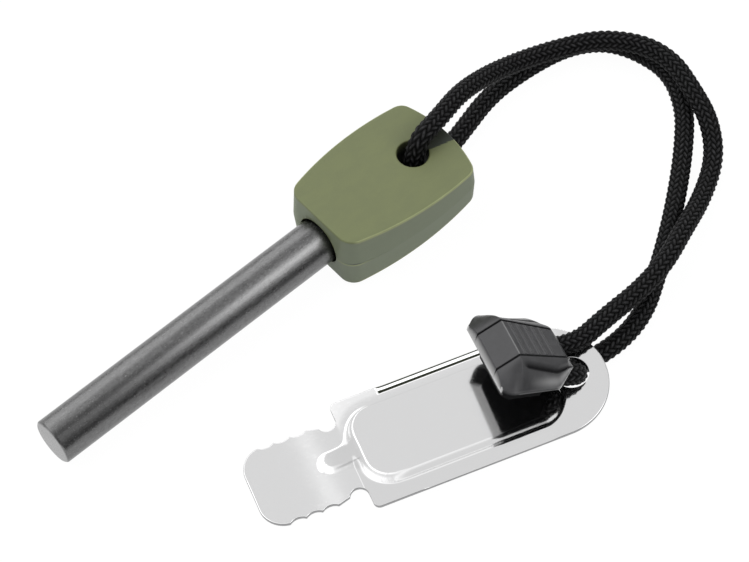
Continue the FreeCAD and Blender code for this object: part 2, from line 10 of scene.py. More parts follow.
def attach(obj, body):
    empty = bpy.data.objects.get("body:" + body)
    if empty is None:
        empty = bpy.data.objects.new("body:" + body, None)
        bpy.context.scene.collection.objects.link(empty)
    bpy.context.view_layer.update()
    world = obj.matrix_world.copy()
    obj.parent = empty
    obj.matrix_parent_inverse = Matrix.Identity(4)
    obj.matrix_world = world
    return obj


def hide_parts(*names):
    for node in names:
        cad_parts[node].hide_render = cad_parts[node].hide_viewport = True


bl_info = {
    "name": "Ferro Rod Fire Starter",
    "version": (1, 0, 0),
    "blender": (4, 5, 0),
    "location": "View3D > Sidebar > Fire Starter",
    "description": "Builds a ferro rod in a moulded handle, with its striker, lanyard and clip",
    "category": "Add Mesh",
}

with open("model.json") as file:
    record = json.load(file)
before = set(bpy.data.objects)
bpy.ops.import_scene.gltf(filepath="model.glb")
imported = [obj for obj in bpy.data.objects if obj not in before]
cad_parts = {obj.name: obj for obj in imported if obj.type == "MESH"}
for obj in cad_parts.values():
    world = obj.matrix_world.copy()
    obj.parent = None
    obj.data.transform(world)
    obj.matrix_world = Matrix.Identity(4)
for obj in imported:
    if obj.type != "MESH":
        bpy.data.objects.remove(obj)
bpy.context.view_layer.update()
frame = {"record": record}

# Lengths in the formulas are millimetres, and a finished mesh is in metres
MM = 0.001
MERGE_DISTANCE = 1e-7

# The local origin of all places: on the floor below the handle's bore, which is the lanyard's hinge
BORE_PLACE = np.array([
    joint["pos_m"] for joint in frame["record"]["behaviour"]["joints"] if joint["name"] == "lanyard_swing"
][0]) / MM * (1, 1, 0)

# Rod and handle
ROD_TIP_CHAMFER = 0.4
ROD_NECK_LEAD = 0.3
ROD_NECK_DEPTH = 0.25
ROD_PITCH = 3.0
ROD_SEATED = 16.0
ROD_COLUMNS = 128
ROD_CORNER_REACH = 0.12
HANDLE_WIDTH_GROWTH = 4.5
HANDLE_SIDE_BULGE = 1.84
HANDLE_REAR_BULGE = 2.22
HANDLE_SIDE_DRAFT = 0.5
HANDLE_FRONT_CORNER = 3.8
HANDLE_REAR_CORNER = 3.0
HANDLE_CORNER_STEPS = 13
HANDLE_COLUMNS = 420
HANDLE_TOP_FILLET = 0.35
HANDLE_SEAM_CHAMFER = 0.15
HANDLE_SEAM_CLOSED_SHARE = 0.1
HANDLE_SEAM_OPEN_PLACE = 1.5
HANDLE_SEAM_OPEN_WIDTH = 5
HANDLE_COLLAR_GAP = 0.4
HANDLE_COLLAR_CHAMFER = 0.2
HANDLE_COLLAR_DEPTH = 1.5
HANDLE_FRONT_REACH = 0.8
SEAT_GAP = 0.05
SEAT_END_GAP = 0.3
BORE_FROM_REAR = 6.85
BORE_DIAMETER = 6.4
BORE_LIP = 0.3

# Striker
SHEET_THICKNESS = 0.8
STRIKER_HOLE_FROM_END = 6.8
STRIKER_HOLE_DIAMETER = 6.9
STRIKER_SHOULDER_CORNER = 1.2
STRIKER_HOLE_PLACE = (-6.9149, -53.0248)
STRIKER_YAW = -19.35
STRIKER_PITCH = 3.63
TAB_LENGTH = 20.2
TAB_WIDTH = 17.4
TAB_END_STRAIGHT = 7.6
NECK_WIDTH = 13.6
NECK_LENGTH = 3.6
NECK_MOUTH_WIDTH = 17.2
NECK_TAB_WIDTH = 16.0
SCALLOP_FIRST_DISTANCE = 6.1
SCALLOP_PITCH = 3.25
SCALLOP_DEPTH = 0.55
SCALLOP_COUNT = 3
RIM_WIDTH = 1.3
RIM_DROP = 0.2
RIM_START = 9.5
RIM_END = 37.5
RIM_STEP = 0.28
RIM_RUN_OUT = 1.5
EDGE_ROUNDING = 0.2
PANEL_START = 0.9
PANEL_TO_HOLE = 0.2
PANEL_FOOT_WIDTH = 17.1
PANEL_HEIGHT = 2.0
PANEL_SLOPE_WIDTH = 1.0
PANEL_CORNER = 5.5
BEAD_END = 6.2
BEAD_FOOT_WIDTH = 4.2
BEAD_HEIGHT = 1.5
BEAD_SLOPE_WIDTH = 0.9
BEAD_CORNER = 2.0
BEAD_FILLET = 2.0

# Rows of the striker's mesh: where the middle line's points start, and distances in from the outline
POLE_FROM_TAB_END = 6
POLE_STEP = 2.6
POLES_AT_NECK = (-4.4, -0.8, 0.6, 1.6, 8.4)
EDGE_ROWS = (EDGE_ROUNDING, 0.35, 0.6, 0.9, 1.08, 1.16, 1.23, 1.3, 1.37, 1.44, 1.54, 1.8, 2.3, 2.8, 3.1, 3.3,
             3.42, 3.54, 3.66, 3.8, 3.95, 4.1, 4.25, 4.37, 4.49, 4.61, 4.75, 5.0)
EDGE_ROWS_REACH = 7.0
INNER_ROWS = 36

# How the polished face is shaded: leans of its normals as slopes, and shares of painted shade on its slopes
# and creases
PRESSING_SHARE = 0.03
NEAR_PRESSING_SHARE = 0.08
FOOT_LEAN = 0.14
FOOT_LINE_PLACE = -0.25
FOOT_LINE_WIDTH = 0.2
SHOULDER_LEAN = 0.11
SHOULDER_LINE_PLACE = PANEL_SLOPE_WIDTH - 0.12
SHOULDER_LINE_WIDTH = 0.16
SLOPE_SHADE = 0.12
LINE_SHADE = 0.8
BEAD_SHADE = 0.4
FLANGE_LEAN = 0.1
NEAR_FLANGE_LEAN = 0.25
BAND_LEAN = 0.06
CREASE_LEAN = 0.475
CREASE_HALF_WIDTH = 0.33
TAB_CROWN = 0.052
TAB_CROWN_PLACE = -6.5
TAB_CROWN_WIDTH = 5

# Clip: the rim as distances and half widths, and the roof as distances, half widths and heights
CLIP_PLACE = (-23.04, -45.42, 18.0)
CLIP_YAW = -24.0
CLIP_DROP = 19.0
CLIP_ROLL = -10.0
CLIP_SEAM_DROP = 2.8
CLIP_SEAM_CHAMFER = 0.12
CLIP_RIM = [(0, 8.3), (1.7, 10.1), (11.9, 9.45), (17.0, 4.1)]
CLIP_RIM_ROUNDING = 0.15
CLIP_CORNER_RUN = 0.7
CLIP_FACET_ROUNDING = 0.12
CLIP_WING_CURVE = 1.4
CLIP_WING_ROUNDING = 0.05
FAR_WING_SHIFT = 1.3
FAR_CORNER_REACH = 1.0
CLIP_RIDGE_DISTANCE = 3.8
CLIP_LIP_DISTANCE = 15.0
CLIP_ROOF = [(0, 4.9, 1.45), (3.8, 4.9, 4.9), (15.0, 4.0, 2.4)]
CLIP_RIM_THICKNESS = 0.35
CLIP_CLOSED_THICKNESS = 1.0
CLIP_SKIRT_INSET = 2.1
CLIP_SIDE_INSET = 3.2
CLIP_BASE_DROP = 5.4
CLIP_BASE_INSET = 0.7
CLIP_RIB_COUNT = 5
CLIP_RIB_PITCH = 1.7
CLIP_RIB_FIRST = 1.6
CLIP_RIB_WIDTH = 0.7
CLIP_RIB_HEIGHT = 0.1
CLIP_RIB_SLOPE_WIDTH = 0.18
CLIP_RIB_ROWS = (0, 0.12, 0.2, 0.28, 0.36, 0.42)
CLIP_END_GROOVE_WIDTH = 0.45
CLIP_END_GROOVE_DEPTH = 0.5
CLIP_WING_GROOVE_DEPTH = 0.55
GROOVE_SPACING = 7.2
GROOVE_DEPTH = 5.3
GROOVE_GAP = 0.08
CORD_END_GAP = 0.3
CORD_STRAIGHT_AT_CLIP = 4.2

# The cord's route from the clip to the handle's bore, and back through the bore to the striker's hole
ROUTE = [
    (5.5, -49.4, 7.4), (15.5, -48.9, 6.5), (24.0, -47.3, 6.5), (32.1, -43.9, 5.6), (42.0, -39.6, 2.3),
    (51.2, -34.2, 2.0), (55.9, -27.5, 4.3), (57.7, -20.2, 6.0), (59.3, -13.3, 6.6), (57.9, -6.1, 6.6),
    (52.1, 0.8, 6.5), (43.7, 4.7, 6.5), (35.2, 6.6, 8.0), (25.3, 6.1, 12.2), (16.0, 4.2, 16.2),
    (8.6, 1.9, 17.2), (0.0, 0.0, 17.6),
    (0.0, 0.0, 2.0), (9.0, 2.1, 2.0), (17.5, 4.4, 2.0), (27.6, 7.4, 2.0), (38.4, 7.5, 2.0),
    (48.2, 6.1, 2.0), (55.1, 2.1, 2.0), (58.6, -4.4, 2.0), (59.7, -12.7, 2.0), (55.4, -21.3, 2.0),
    (48.3, -28.1, 2.0), (40.5, -34.4, 2.0), (31.8, -40.7, 2.0), (23.2, -46.2, 2.0), (14.0, -51.7, 2.0),
    (4.0, -53.2, 2.0), (-6.86, -50.83, 2.0),
]
ROUTE_RESOLUTION = 24

# Braid of the cord
BRAID_YARNS = 12
BRAID_PITCH = 1.43
BRAID_ROWS = 1430
BRAID_COLUMNS = 68
BRAID_RELIEF = 0.5
BRAID_CROWN = 0.08
BRAID_UV_LENGTH = 100

# Light: plain levels, where 1 renders white. An edge is where a patch starts and where it is full
WORLD_LEVEL = 0.5
ROOM_LEVEL = 0.05
TABLE_HALF_SIZE = 3.0
TABLE_REACH = (0.25, 0.6)
TABLE_BOUNCE = 0.75
TABLE_LEVEL_SEEN = 1.04
TABLE_GLOW_SEEN = 0.93
TABLE_GLOW_IN_GLOSS = 0.85
HORIZON_DARK = (0.05, 0.17)
NEAR_LEVEL = 0.72
FAR_LEVEL = 1.7
FAR_EDGE = (0.0, 0.55)
GREY_SCREEN_HEADING = (0.32, 0.4, 0.859)
GREY_SCREEN_EDGE = (0.962, 0.985)
GREY_SCREEN_LEVEL = 0.74
SOFTBOX_HEADING = (0.4, -0.46, 0.793)
SOFTBOX_EDGE = (0.93, 0.99)
SOFTBOX_LEVEL = 1.7
BLACK_CARD_DEPTH = (0.68, 0.88)
BLACK_CARD_HEIGHT = (0.3, 0.55)
BLACK_CARD_SHARE = 0.8
LEFT_SCREEN_HEADING = (-0.22, 0.45, 0.865)
LEFT_SCREEN_EDGE = (0.9, 0.98)
LEFT_SCREEN_LEVEL = 0.25

# Lamps: name, place and width in metres, and watts
LAMPS = (("key", (-0.35, 0.45, 0.75), 0.8, 5.7), ("fill", (0.45, -0.55, 0.6), 0.6, 3.0))
LAMP_TARGET = (0.02, 0.0, 0)

# Camera, in the row frame
CAMERA_PLACE = (-199.64, -228.95, 496.86)
CAMERA_TARGET = (21.95, 15.44, 0.0)
CAMERA_ROLL = 0.83
CAMERA_LENS = 145.9
CAMERA_SENSOR = 36


def turned(yaw, pitch, roll):
    """The turn about Z by yaw, of the turn about Y by pitch, of the turn about X by roll, as a matrix."""
    turns = [
        Matrix.Rotation(math.radians(angle), 3, axis)
        for angle, axis in ((yaw, "Z"), (pitch, "Y"), (roll, "X"))
    ]
    return np.array(turns[0] @ turns[1] @ turns[2])


class Place:
    """Where a piece lies: a turn, then a shift from the bore's place."""

    def __init__(self, turn, shift):
        self.turn = turn
        self.shift = np.array(shift, float)

    def points(self, local):
        """Local points in millimetres, moved into the row frame, in metres."""
        return (np.asarray(local, float) @ self.turn.T + self.shift + BORE_PLACE) * MM

    def local(self, mesh):
        """A mesh's vertices as local points in millimetres."""
        return (vertices(mesh) / MM - BORE_PLACE - self.shift) @ self.turn


class Signal:
    """A node's socket on which Python's operators add Math nodes."""

    def __init__(self, finish, socket):
        self.finish = finish
        self.socket = socket

    def math(self, operation, *others):
        return self.finish.node("Math", {"operation": operation}, dict(enumerate((self,) + others)))

    def __add__(self, other):
        return self.math("ADD", other)

    def __sub__(self, other):
        return self.math("SUBTRACT", other)

    def __mul__(self, other):
        return self.math("MULTIPLY", other)

    def __truediv__(self, other):
        return self.math("DIVIDE", other)

    def __pow__(self, other):
        return self.math("POWER", other)

    def __mod__(self, other):
        return self.math("FLOORED_MODULO", other)

    def __lt__(self, other):
        return self.math("LESS_THAN", other)

    def __rsub__(self, other):
        return self.finish.node("Math", {"operation": "SUBTRACT"}, {0: other, 1: self})

    __radd__ = __add__
    __rmul__ = __mul__

    def ramp(self, low, high):
        """0 at low, 1 at high, smooth in between."""
        settings = {"interpolation_type": "SMOOTHSTEP"}
        return self.finish.node("MapRange", settings, {"Value": self, "From Min": low, "From Max": high})


class Finish:
    """A material or a world under construction."""

    def __init__(self, owner):
        owner.use_nodes = True
        self.owner = owner
        self.tree = owner.node_tree
        self.tree.nodes.clear()

    def node(self, kind, settings=None, inputs=None, output=0):
        """Any node: its settings first, then the values or links of its sockets."""
        made = self.tree.nodes.new("ShaderNode" + kind)
        for key, value in (settings or {}).items():
            setattr(made, key, value)
        for key, value in (inputs or {}).items():
            if isinstance(value, Signal):
                self.tree.links.new(value.socket, made.inputs[key])
            else:
                made.inputs[key].default_value = value
        return Signal(self, made.outputs[output]) if made.outputs else None

    def mix(self, factor, first, second):
        """A colour between two colours."""
        first, second = [
            colour if isinstance(colour, Signal) else (*colour, 1) for colour in (first, second)
        ]
        return self.node("Mix", {"data_type": "RGBA"}, {0: factor, 6: first, 7: second}, 2)

    def coordinates(self, place=None, stretch=(1, 1, 1)):
        """Object coordinates in millimetres, centred and turned on a piece's place, and stretched."""
        vector = self.node("TexCoord", output="Object")
        if place is not None:
            shift = tuple((place.shift + BORE_PLACE) * MM)
            vector = self.node("VectorMath", {"operation": "SUBTRACT"}, {0: vector, 1: shift})
            turn = tuple(Matrix(place.turn.T.tolist()).to_euler())
            vector = self.node("Mapping", None, {"Vector": vector, "Rotation": turn})
        return self.node("Mapping", None, {"Vector": vector, "Scale": scaled(stretch, 1 / MM)})

    def axis(self, vector, name):
        return self.node("SeparateXYZ", None, {"Vector": vector}, name)

    def attribute(self, name):
        return self.node("Attribute", {"attribute_name": name}, None, "Fac")

    def ray(self, name):
        return self.node("LightPath", output="Is " + name + " Ray")

    def noise(self, vector, scale, detail=4.0, roughness=0.5):
        """Noise with that many lumps to the millimetre of its coordinates."""
        inputs = {"Vector": vector, "Scale": scale, "Detail": detail, "Roughness": roughness}
        return self.node("TexNoise", {"noise_dimensions": "3D"}, inputs)

    def surface(self, relief, distance, strength, **sockets):
        """The material with its shader, bumped by the relief. Base_Color stands for Base Color."""
        bump = {"Height": relief, "Distance": distance * MM, "Strength": strength}
        named = {key.replace("_", " "): value for key, value in sockets.items()}
        named["Normal"] = self.node("Bump", None, bump)
        self.node("OutputMaterial", None, {"Surface": self.node("BsdfPrincipled", None, named)})
        return self.owner


def scaled(colour, share):
    return tuple(value * share for value in colour)


def vertices(mesh):
    """The places of a mesh's vertices, one to a row."""
    spots = np.empty(len(mesh.vertices) * 3)
    mesh.vertices.foreach_get("co", spots)
    return spots.reshape(-1, 3)


def write_shares(mesh, **layers):
    """An attribute for each name, with its value at each vertex."""
    for name, values in layers.items():
        layer = mesh.attributes.new(name, "FLOAT", "POINT")
        layer.data.foreach_set("value", np.asarray(values, float))


def grid_faces(rows, columns, closed=False):
    """The quads of a grid of points that are listed row by row. A closed grid joins its columns."""
    spans = columns if closed else columns - 1
    row, column = np.meshgrid(np.arange(rows - 1), np.arange(spans), indexing="ij")
    first = row * columns + column
    second = row * columns + (column + 1) % columns
    return np.stack([first, second, second + columns, first + columns], -1).reshape(-1, 4)


def mesh_object(name, points, faces):
    """A smooth object at the origin from points in metres."""
    mesh = bpy.data.meshes.new(name)
    corners = [[int(index) for index in face] for face in faces]
    mesh.from_pydata(np.asarray(points).tolist(), [], corners)
    mesh.update()
    mesh.polygons.foreach_set("use_smooth", np.ones(len(mesh.polygons), bool))
    made = bpy.data.objects.new(name, mesh)
    bpy.context.scene.collection.objects.link(made)
    return made


def finish_piece(piece, body, material, node):
    """The piece takes its material, rides on its body and stands for its CAD node."""
    piece.data.materials.clear()
    piece.data.materials.append(material)
    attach(piece, body)
    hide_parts(node)


# Places of the pieces
def handle_place(sizes):
    """The front end of the rod's seat. The rod's tip rests on the floor and its axis climbs by its pitch."""
    climb = math.radians(ROD_PITCH)
    tip = sizes.rod_diameter / MM / 2 * math.cos(climb) - ROD_TIP_CHAMFER * math.sin(climb)
    bore = sizes.handle_length / MM - BORE_FROM_REAR
    height = tip + sizes.rod_exposed / MM * math.sin(climb)
    return Place(turned(0, -ROD_PITCH, 0), (-bore * math.cos(climb), 0, height))


def striker_place(sizes):
    """The middle of the shoulders. The plate climbs from its tab's end, and its hole lies on the cord."""
    climb = math.radians(STRIKER_PITCH)
    turn = turned(STRIKER_YAW, -STRIKER_PITCH, 0)
    hole = sizes.striker_length / MM - STRIKER_HOLE_FROM_END
    reach = turn @ (hole, 0, -SHEET_THICKNESS / 2)
    height = TAB_LENGTH * math.sin(climb) + SHEET_THICKNESS * math.cos(climb)
    return Place(turn, (STRIKER_HOLE_PLACE[0] - reach[0], STRIKER_HOLE_PLACE[1] - reach[1], height))


def clip_place():
    return Place(turned(CLIP_YAW, CLIP_DROP, CLIP_ROLL), CLIP_PLACE)


# Profiles over a distance
def eased(value, ease=0.2):
    """0 below 0, 1 above 1 and straight between, with soft bends: half the difference of two hyperbolas."""
    bends = np.sqrt(value ** 2 + ease ** 2) - np.sqrt((value - 1) ** 2 + ease ** 2)
    whole = np.sqrt(1 + ease ** 2) - ease
    return np.clip((bends + whole) / 2 / whole, 0, 1)


def rise(value, start, run, ease=0.2):
    """0 up to the start and 1 after the run. A negative run falls from 1 to 0 towards the start."""
    return eased((value - start) / run, ease)


def bell(value, middle, width):
    """1 at the middle, falling to both sides: e to the power of minus the squared distance in widths."""
    return np.exp(-((value - middle) / width) ** 2)


# Lines and outlines
def conic(start, corner, end, steps, weight=1.0):
    """A bend from start to end that leaves both towards the corner: a parabola, or flatter below weight 1."""
    share = np.linspace(0, 1, steps + 1)[:, None]
    parts = [(1 - share) ** 2, 2 * weight * share * (1 - share), share ** 2]
    return (start * parts[0] + corner * parts[1] + end * parts[2]) / sum(parts)


def soft_corners(points, reach, limit=0.45):
    """A line with each corner replaced by a short bend whose ends are within reach of the corner."""
    points = np.array(points, float)
    rounded = [points[:1]]
    for before, corner, after in zip(points, points[1:], points[2:]):
        back = before - corner
        ahead = after - corner
        start = corner + back * min(limit, reach / np.linalg.norm(back))
        end = corner + ahead * min(limit, reach / np.linalg.norm(ahead))
        rounded.append(conic(start, corner, end, 4))
    rounded.append(points[-1:])
    return np.concatenate(rounded)


def line_points(start, end, count):
    """Points at equal steps from start towards end, without the last one."""
    share = np.arange(count)[:, None] / count
    return np.array(start, float) * (1 - share) + np.array(end, float) * share


def arc_points(start, middle, end, count):
    """Points at equal angles on the circle through three points, without the last one."""
    start, middle, end = [complex(*point) for point in (start, middle, end)]
    ratio = (end - start) / (middle - start)
    centre = start - (start - middle) * (ratio - abs(ratio) ** 2) / 2j / ratio.imag
    spokes = [point - centre for point in (start, middle, end)]
    sweep = np.angle(spokes[1] / spokes[0]) + np.angle(spokes[2] / spokes[1])
    circle = centre + spokes[0] * np.exp(1j * sweep * np.arange(count) / count)
    return np.column_stack([circle.real, circle.imag])


def outline_normals(outline):
    """Unit vectors out of a closed outline that runs anticlockwise: its direction, turned right."""
    along = np.roll(outline, -1, axis=0) - np.roll(outline, 1, axis=0)
    along /= np.linalg.norm(along, axis=1)[:, None]
    return np.column_stack([along[:, 1], -along[:, 0]])


def distances(line):
    """The distance along a line to each of its points."""
    return np.concatenate([[0], np.cumsum(np.linalg.norm(np.diff(line, axis=0), axis=1))])


def read_at(line, places):
    """The points at these distances along a line."""
    along = distances(line)
    return np.column_stack([np.interp(places, along, values) for values in line.T])


def resampled(outline, count):
    """A closed outline's points at equal steps along it."""
    loop = np.concatenate([outline, outline[:1]])
    return read_at(loop, np.arange(count) / count * distances(loop)[-1])


def shrunk(outline, inset):
    """A closed outline scaled about its middle: its box is drawn in by the inset, along and across."""
    low = outline.min(0)
    high = outline.max(0)
    centre = (high + low) / 2
    return centre + (outline - centre) * (1 - inset / ((high - low) / 2))


def at_height(flat, height):
    """Plan points lifted to a height, which may differ from point to point."""
    return np.column_stack([flat, height * np.ones(len(flat))])


# Solids
def solid_object(name, place, points, faces, sharp=35):
    """A closed piece from local points in millimetres, doubles merged and faces outwards by its volume."""
    volume = 0.0
    for face in faces:
        fan = points[list(face)]
        volume += np.einsum("i,ji->", fan[0], np.cross(fan[1:-1], fan[2:]))
    outwards = 1 if volume > 0 else -1
    made = mesh_object(name, place.points(points), [tuple(face)[::outwards] for face in faces])
    work = bmesh.new()
    work.from_mesh(made.data)
    bmesh.ops.remove_doubles(work, verts=work.verts, dist=MERGE_DISTANCE)
    bmesh.ops.dissolve_degenerate(work, edges=work.edges, dist=MERGE_DISTANCE)
    work.to_mesh(made.data)
    work.free()
    made.data.set_sharp_from_angle(angle=math.radians(sharp))
    return made


def turned_solid(name, place, profile, columns, sharp=35):
    """A profile of (x, radius) turned about the local X axis. It starts and ends on the axis."""
    profile = np.asarray(profile, float)
    angle = np.arange(columns) / columns * 2 * math.pi
    circle = np.column_stack([np.zeros(columns), np.cos(angle), np.sin(angle)])
    points = circle[None] * profile[:, 1, None, None]
    points[:, :, 0] = profile[:, :1]
    faces = grid_faces(len(profile), columns, closed=True)
    return solid_object(name, place, points.reshape(-1, 3), faces, sharp)


def cut(piece, cutters, sharp=35):
    """The piece without the cutters, which are removed."""
    for cutter in cutters:
        modifier = piece.modifiers.new(cutter.name, "BOOLEAN")
        modifier.operation = "DIFFERENCE"
        modifier.solver = "EXACT"
        modifier.object = cutter
    bpy.context.view_layer.update()
    mesh = bpy.data.meshes.new_from_object(piece.evaluated_get(bpy.context.evaluated_depsgraph_get()))
    spent = [piece.data] + [cutter.data for cutter in cutters]
    piece.modifiers.clear()
    piece.data = mesh
    mesh.name = spent[0].name
    for cutter in cutters:
        bpy.data.objects.remove(cutter)
    for whole in spent:
        bpy.data.meshes.remove(whole)
    mesh.polygons.foreach_set("use_smooth", np.ones(len(mesh.polygons), bool))
    mesh.set_sharp_from_angle(angle=math.radians(sharp))


# Rod
def ferro_rod(sizes):
    """The rod's outline turned about its axis: an end face, a worn chamfer, the shank, a neck and seat."""
    radius = sizes.rod_diameter / MM / 2
    exposed = sizes.rod_exposed / MM
    core = radius - ROD_NECK_DEPTH
    profile = soft_corners([
        (-exposed, 0),
        (-exposed, radius - ROD_TIP_CHAMFER),
        (-exposed + ROD_TIP_CHAMFER, radius),
        (-ROD_NECK_LEAD, radius),
        (-ROD_NECK_LEAD, core),
        (HANDLE_COLLAR_DEPTH, core),
        (HANDLE_COLLAR_DEPTH, radius),
        (ROD_SEATED, radius),
        (ROD_SEATED, 0),
    ], ROD_CORNER_REACH)
    return turned_solid("rod", handle_place(sizes), profile, ROD_COLUMNS, 40)


# Handle
def handle_outline(sizes):
    """The outline at the parting plane: a straight front, bulged sides and rear, and round corners."""
    length = sizes.handle_length / MM
    rear = sizes.handle_width / MM / 2
    front = rear - HANDLE_WIDTH_GROWTH / 2
    bulged = (front + rear) / 2 + HANDLE_SIDE_BULGE
    sides = [
        line_points((0, front), (0, -front), 60),
        arc_points((0, -front), (length / 2, -bulged), (length, -rear), 120),
        arc_points((length, -rear), (length + HANDLE_REAR_BULGE, 0), (length, rear), 90),
        arc_points((length, rear), (length / 2, bulged), (0, front), 120),
    ]
    turns = []
    trims = []
    corners = (HANDLE_FRONT_CORNER, HANDLE_REAR_CORNER, HANDLE_REAR_CORNER, HANDLE_FRONT_CORNER)
    for side, following, corner in zip(sides, sides[1:] + sides[:1], corners):
        heading = side[-1] - side[-2]
        leaving = following[1] - following[0]
        turns.append(math.acos(heading @ leaving / np.linalg.norm(heading) / np.linalg.norm(leaving)))
        trims.append(corner * math.tan(turns[-1] / 2))
    outline = []
    for index, (side, following) in enumerate(zip(sides, sides[1:] + sides[:1])):
        point = following[0]
        after_start = np.linalg.norm(side - side[0], axis=1) > trims[index - 1]
        kept = side[after_start & (np.linalg.norm(side - point, axis=1) > trims[index])]
        end = following[np.linalg.norm(following - point, axis=1) > trims[index]][0]
        bend = conic(kept[-1], point, end, HANDLE_CORNER_STEPS, math.cos(turns[index] / 2))
        outline += [kept, bend[1:-1]]
    outline = np.concatenate(outline)
    outline[:, 0] -= HANDLE_FRONT_REACH * np.clip(1 - outline[:, 0] / length, 0, 1)
    return resampled(outline, HANDLE_COLUMNS)


def handle_top(sizes, x):
    """Half of the handle's thickness at a distance from its front."""
    full = sizes.handle_front_thickness / MM / 2
    fall = full - sizes.handle_rear_thickness / MM / 2
    return full - fall * x / (sizes.handle_length / MM)


def handle_half(sizes, name, side):
    """One shell as rings from the parting plane up its drafted side, over the top and down the bore.

    The side leans in by the draft, the rim is a quarter circle, the top is the sloping plane drawn in to the
    bore's circle, and the lip is a quarter circle that ends in the bore's wall. The seam opens in front.
    """
    outline = handle_outline(sizes)
    normals = outline_normals(outline)
    bore = np.array([sizes.handle_length / MM - BORE_FROM_REAR, 0])
    spokes = outline - bore
    spokes /= np.linalg.norm(spokes, axis=1)[:, None]
    rings = []

    def drafted(height):
        return HANDLE_SIDE_DRAFT * height / handle_top(sizes, 0)

    def ring(inset, height):
        rings.append(at_height(outline - normals * np.reshape(inset, (-1, 1)), height))

    def ring_below_top(flat, drop):
        rings.append(at_height(flat, handle_top(sizes, flat[:, 0]) - drop))

    opened = bell(outline[:, 0], HANDLE_SEAM_OPEN_PLACE, HANDLE_SEAM_OPEN_WIDTH)
    seam = HANDLE_SEAM_CHAMFER * (HANDLE_SEAM_CLOSED_SHARE + (1 - HANDLE_SEAM_CLOSED_SHARE) * opened)
    ring(seam, 0.0)
    ring(0.3 * seam, HANDLE_SEAM_CHAMFER * 0.35)
    ring(drafted(HANDLE_SEAM_CHAMFER), HANDLE_SEAM_CHAMFER)
    shoulder = handle_top(sizes, outline[:, 0]) - HANDLE_TOP_FILLET
    for share in (0.06, 0.25, 0.5, 0.75, 0.94, 1.0):
        height = HANDLE_SEAM_CHAMFER + (shoulder - HANDLE_SEAM_CHAMFER) * share
        ring(drafted(height), height)
    for angle in np.linspace(0, math.pi / 2, 9)[1:]:
        inset = drafted(shoulder) + HANDLE_TOP_FILLET * (1 - math.cos(angle))
        ring_below_top(outline - normals * inset[:, None], HANDLE_TOP_FILLET * (1 - math.sin(angle)))
    edge = rings[-1][:, :2]
    wall = bore + spokes * (BORE_DIAMETER / 2)
    mouth = wall + spokes * BORE_LIP
    for share in np.linspace(0, 1, 15)[1:]:
        ring_below_top(edge * (1 - share) + mouth * share, 0)
    for angle in np.linspace(0, math.pi / 2, 8)[1:]:
        lip = wall + spokes * BORE_LIP * (1 - math.sin(angle))
        ring_below_top(lip, BORE_LIP * (1 - math.cos(angle)))
    for share in (0.5, 1.0):
        rings.append(at_height(wall, (handle_top(sizes, wall[:, 0]) - BORE_LIP) * (1 - share)))
    points = np.concatenate(rings) * (1, 1, side)
    faces = grid_faces(len(rings) + 1, HANDLE_COLUMNS, closed=True) % len(points)
    shell = solid_object(name, handle_place(sizes), points, faces)
    seat = sizes.rod_diameter / MM / 2 + SEAT_GAP
    collar = sizes.rod_diameter / MM / 2 + HANDLE_COLLAR_GAP
    end = ROD_SEATED + SEAT_END_GAP
    cutter = turned_solid(name + "_seat", handle_place(sizes), [
        (-2, 0),
        (-2, collar + HANDLE_COLLAR_CHAMFER),
        (-HANDLE_FRONT_REACH, collar + HANDLE_COLLAR_CHAMFER),
        (-HANDLE_FRONT_REACH + HANDLE_COLLAR_CHAMFER, collar),
        (HANDLE_COLLAR_DEPTH, collar),
        (HANDLE_COLLAR_DEPTH, seat),
        (end, seat),
        (end, 0),
    ], 96)
    cut(shell, [cutter])
    mark_handle(sizes, shell, side)
    return shell


def mark_handle(sizes, shell, side):
    """Shares 0 to 1: "rim", painted highlight on the top's edge; painted shade in bore and collar; painted
    sheen on sides.
    """
    x, y, z = handle_place(sizes).local(shell.data).T
    under = handle_top(sizes, x) - z * side
    bore = np.hypot(x - sizes.handle_length / MM + BORE_FROM_REAR, y) - BORE_DIAMETER / 2
    # Painted shade: the bore's wall and the collar ring are darkened where shade falls
    down_bore = (bore < BORE_LIP * 0.6) * np.clip((under - 0.1) / 0.8, 0, 1)
    ring = np.hypot(y, z) - sizes.rod_diameter / MM / 2
    in_collar = (ring < HANDLE_COLLAR_GAP + 0.05) * np.clip((x + HANDLE_FRONT_REACH - 0.05) / 0.4, 0, 1)
    # Painted highlight: a light line along the top's edge
    rim = (under > 0.01) * (under < HANDLE_TOP_FILLET * 1.1) * (bore > 1.0) * np.clip(x - 1, 0, 1)
    # Painted reflection: the sides are paled where they mirror the table
    sides = (under > HANDLE_TOP_FILLET * 1.05) * (bore > 1.0) * (in_collar == 0)
    seam = (np.abs(z) < HANDLE_SEAM_CHAMFER * 1.2) * (y < -5)
    corner = bell(x, 1.0, 2.5)
    # Painted highlight on the lower shell's seam at the front corner
    rim = np.maximum(rim, seam * corner * (side < 0))
    # Painted shade on the upper shell's seam at the front corner
    in_collar = np.maximum(in_collar, seam * corner ** 6 * (side > 0))
    write_shares(shell.data, rim=rim, grime=np.maximum(down_bore, in_collar), bloom=sides)


